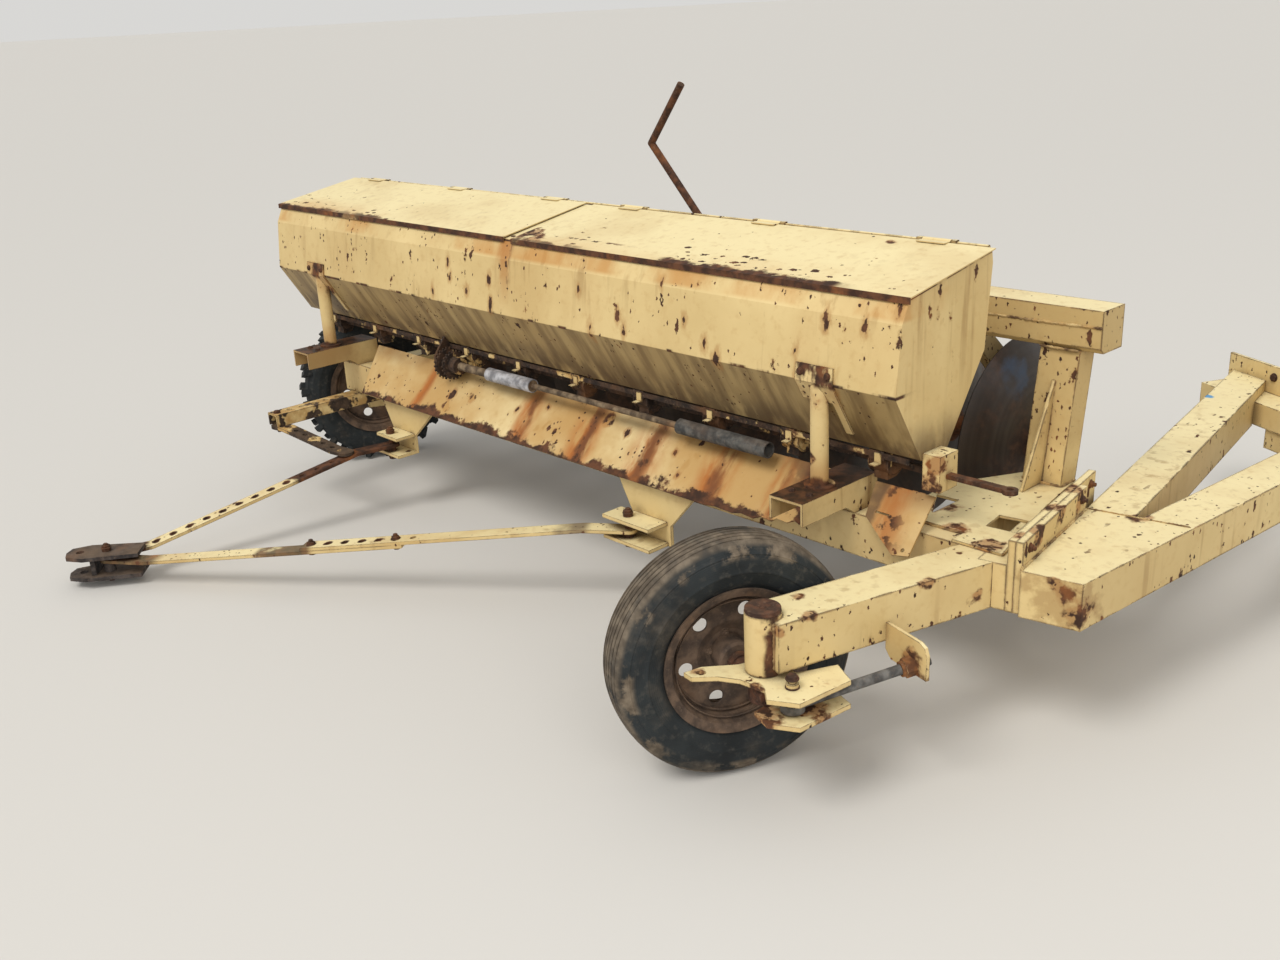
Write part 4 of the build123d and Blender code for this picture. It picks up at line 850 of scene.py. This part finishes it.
lathe(bm, [(-22.4, 13.6), (-22.4, 22.5), (-20, 24.6), (2.4, 24.6), (4.6, 22.5), (4.6, 13.6)],
      facing(ARM @ NUT, way), 6)
lathe(bm, [(-30, 13.6), (-30, 19), (-22, 20), (-22, 13.6)], facing(ARM @ NUT, way), 24)
piece("screw_nut", bm, "nut", "frame", smooth=False)

# Kingpin cap: a washer rim and a centre dimple; and the steering pin's head on its washer
KINGPIN_TOP, PIN_TOP, PIN_PLATE = 519.0, 377.5, 355
bm = bmesh.new()
cap = facing(at(0, 0, KINGPIN_TOP), Z_WAY)
lathe(bm, [(-0.5, 12), (-0.5, 42.6), (1.2, 42.6), (2.4, 40), (2.4, 24), (-0.2, 20), (-0.2, 12)], cap, 48)
lathe(bm, [(-0.4, 0.4), (-0.4, 9), (1.6, 8), (2.2, 6), (0.6, 4), (0.6, 0.4)], cap, 24)
piece("kingpin_washer", bm, "cap", "knuckle_near")
bm = bmesh.new()
bolt(bm, ARM @ Vector((PIN.x, PIN.y, PIN_TOP)), Z_WAY, 14)
lathe(bm, [(0, 8), (0, 17), (4, 17), (4, 8)], facing(ARM @ Vector((PIN.x, PIN.y, PIN_PLATE)), Z_WAY), 24)
piece("steer_pin_head", bm, "cap", "knuckle_near")

# Bolts of the frame: the two flanges' corners, the rear crossbar, the posts' straps and feet, and the carriers
END = turned(292, 600, 0, 9.5)                # the flanges at the main beam's near end
CROSS = turned(92, 2525, 0, -27)              # the rear crossbar
FRONT_WAY = Vector((0, -0.9935, 0.114))       # out of the box's leaning front
POSTS, CARRIERS = (-2835.0, -278.0), (-2480, -540)
FLANGE_BOLTS = [(x, y, z) for x, y in ((20, 40), (20, 410), (0, 535)) for z in (402, 539)]
bm = bmesh.new()
for spot in FLANGE_BOLTS:
    bolt(bm, END @ Vector(spot), END.to_3x3() @ X_WAY, 11, tail=8)
for x in (70, 145, 220, 295):
    bolt(bm, CROSS @ Vector((x, 0, 518)), -(CROSS.to_3x3() @ Y_WAY), 13)
for post in POSTS:
    for x in (-46, 46):
        bolt(bm, at(post + x, 524.0, 909), FRONT_WAY, 9)
    for x in (-30, 30):
        bolt(bm, at(post + x, 470, 591), Z_WAY, 9)
for x in CARRIERS:
    bolt(bm, at(x, 1179.5, 950), -Y_WAY, 10)
piece("frame_bolts", bm, "rust", "frame", smooth=False)

# Bolts in the end holes of the near bar's lap, through the lugs and the hitch, and of the side channel
BAR_MARGIN, BAR_LOW, BAR_HIGH, BAR_T = 150, 94, 261, 12.6   # the near bar climbs between its level ends
PINS = ((HITCH, 131, 19), (NEAR_BOLT, 325, 221), (FAR_BOLT, 325, 221))   # pin, and its heads' heights
CHANNEL_BOLT = -2825, 262
bm = bmesh.new()
run = (NEAR_BOLT - HITCH).normalized()
length = (NEAR_BOLT - HITCH).length
for s in LAP_HOLES:
    share = (s - BAR_MARGIN) / (length - 2 * BAR_MARGIN)
    z = BAR_LOW + (BAR_HIGH - BAR_LOW) * share + BAR_T
    spot = HITCH + run * s
    bolt(bm, at(spot.x, spot.y, z), Z_WAY, 14, tail=8)
    bolt(bm, at(spot.x, spot.y, z - 25.4), -Z_WAY, 14)
for spot, top, low in PINS:
    bolt(bm, at(spot.x, spot.y, top), Z_WAY, 15, tail=6)
    bolt(bm, at(spot.x, spot.y, low), -Z_WAY, 15)
bolt(bm, at(*CHANNEL_BOLT, 373.0), Z_WAY, 13)
bolt(bm, at(*CHANNEL_BOLT, 311.0), -Z_WAY, 14, tail=8)
piece("drawbar_bolt_heads", bm, "rust", "frame", smooth=False)


def end_place(x, y, z):
    """A place in the flanges' frame, in millimetres from the kingpin, at the height z."""
    spot = (END @ Vector((x, y, 0))) / MM + ORIGIN
    return spot.x, spot.y, z


# Weld runs along the frame's joints: from, to and radius, in millimetres
WELDS = [
    ((178, 1180, 961), (-60, 1180, 957), 4.5), ((-60, 1180, 957), (-700, 1180, 955), 3.5),
    ((-5, 1130, 507), (115, 1130, 507), 5), ((115, 1130, 507), (115, 1210, 507), 5),
    ((-5, 1130, 507), (-5, 1210, 507), 5), ((-5, 1180, 889), (115, 1180, 889), 4),
    ((90, 632, 500), (90, 690, 500), 4), ((-137, 690, 500), (90, 690, 500), 4),
    ((-137, 690, 500), (-137, 979, 500), 4), ((236, 632, 502), (160, 960, 502), 4),
]
for side in (-1, 1):
    spot = (ARM @ Vector((0, side * 46, 0))) / MM + ORIGIN
    WELDS.append(((spot.x, spot.y, 375), (spot.x, spot.y, 497), 4))
for y0, y1 in ((-15, 120), (120, 300), (300, 450)):
    WELDS.append((end_place(21, y0, 499), end_place(21, y1, 499), 4.5))
WELDS.append((end_place(20, 455, 498.5), end_place(290, 455, 498.5), 3))
bm = bmesh.new()
for start, stop, radius in WELDS:
    bead(bm, start, stop, radius)
piece("weld_runs", bm, "weld", "frame")

# Seed feeds: screws, outlet lips and a slide tab on each, the sprockets' teeth, and the shaft's bright sleeve
FEEDS, FIRST_FEED_X = 10, -164.0
SHAFT_Y, SHAFT_Z = 620, 618
SPROCKETS = ((-2106, 54, 24), (-2066, 48, 21))   # x, radius and teeth
bm = bmesh.new()
tabs = bmesh.new()
for i in range(FEEDS):
    x = FIRST_FEED_X - PITCH * i
    for side in (-20, 20):
        bolt(bm, at(x + side, 657.5, 672), -Y_WAY, 5)
    for lip in (-33, 29):
        lathe(bm, [(lip, 35), (lip, 38), (lip + 4, 38), (lip + 4, 35)], turned(x, 692, 650, 0), 24)
    tab = turned(x + 6, 646, 668, random.uniform(-8, 8))
    block(tabs, tab, (22, 5, 30))
    block(tabs, tab @ Matrix.Translation((0, -12, -14)), (22, 24, 3))
for x, radius, teeth in SPROCKETS:
    for i in range(teeth):
        turn = Matrix.Rotation(2 * math.pi * i / teeth, 4, "X")
        block(bm, turned(x, SHAFT_Y, SHAFT_Z, 0) @ turn @ Matrix.Translation((0, 0, radius + 3)), (7, 6, 9))
piece("feed_fittings", bm, "feed", "frame", smooth=False)
bmesh.ops.bevel(tabs, geom=list(tabs.edges), offset=0.0008, segments=2, affect="EDGES")
piece("feed_tabs", tabs, "lug", "frame", smooth=False)
bm = bmesh.new()
lathe(bm, [(-1850, 20.6), (-1850, 24), (-1600, 24), (-1600, 20.6)], turned(0, SHAFT_Y, SHAFT_Z, 0), 32)
piece("bright_sleeve", bm, "sleeve", "frame")

# Floor, lights and camera
FLOOR_Z, FLOOR_HALF = -0.0752, 900   # metres
bm = bmesh.new()
bmesh.ops.create_grid(bm, x_segments=1, y_segments=1, size=FLOOR_HALF)
mesh = bpy.data.meshes.new("floor")
bm.to_mesh(mesh)
bm.free()
floor = bpy.data.objects.new("floor", mesh)
floor.location = (0, 0, FLOOR_Z)
bpy.context.scene.collection.objects.link(floor)
ground = Look("floor_look")
mesh.materials.append(ground.finish(rgb(206, 204, 200), 0.9))

scene = bpy.context.scene
scene.view_settings.view_transform = "Standard"
world = bpy.data.worlds.new("sky")
scene.world = world
world.use_nodes = True
sky = world.node_tree.nodes["Background"]
sky.inputs["Color"].default_value = (1.0, 0.99, 0.965, 1)
sky.inputs["Strength"].default_value = 0.69


def lamp(kind, name, place, target, size, power, colour):
    """A soft light: size is the width of an area light, or the angle in degrees of a sun."""
    light = bpy.data.lights.new(name, kind)
    if kind == "SUN":
        light.angle = math.radians(size)
    else:
        light.size = size
    light.energy = power
    light.color = colour
    holder = bpy.data.objects.new(name, light)
    holder.location = place
    holder.rotation_euler = (Vector(target) - Vector(place)).to_track_quat("-Z", "Y").to_euler()
    scene.collection.objects.link(holder)


lamp("SUN", "key", (1.6, -4.4, 8.0), (1.4, 1.2, 0.4), 24.0, 1.55, (1.0, 0.97, 0.92))
lamp("AREA", "fill", (8.0, -3.0, 5.0), (1.6, 1.4, 0.4), 6.0, 210, (1.0, 0.98, 0.95))

# The camera as fitted to the photo, with its place in millimetres from the kingpin
CAMERA_AT = (1770.32, -1977.36, 1832.71)
CAMERA_RIGHT = Vector((0.68667511, 0.72528509, -0.0493844))
CAMERA_UP = Vector((-0.22235194, 0.27422044, 0.93560823))
CAMERA_BACK = Vector((0.69212492, -0.63147817, 0.3495689))
FOCAL, PHOTO_WIDTH = 1270.0, 1280.0   # pixels
SENSOR = 36.0
camera = bpy.data.objects.new("camera", bpy.data.cameras.new("camera"))
camera.data.sensor_width = SENSOR
camera.data.lens = SENSOR * FOCAL / PHOTO_WIDTH
view = Matrix((CAMERA_RIGHT, CAMERA_UP, CAMERA_BACK)).transposed().to_4x4()
camera.matrix_world = Matrix.Translation(at(*CAMERA_AT)) @ view
scene.collection.objects.link(camera)
scene.camera = camera
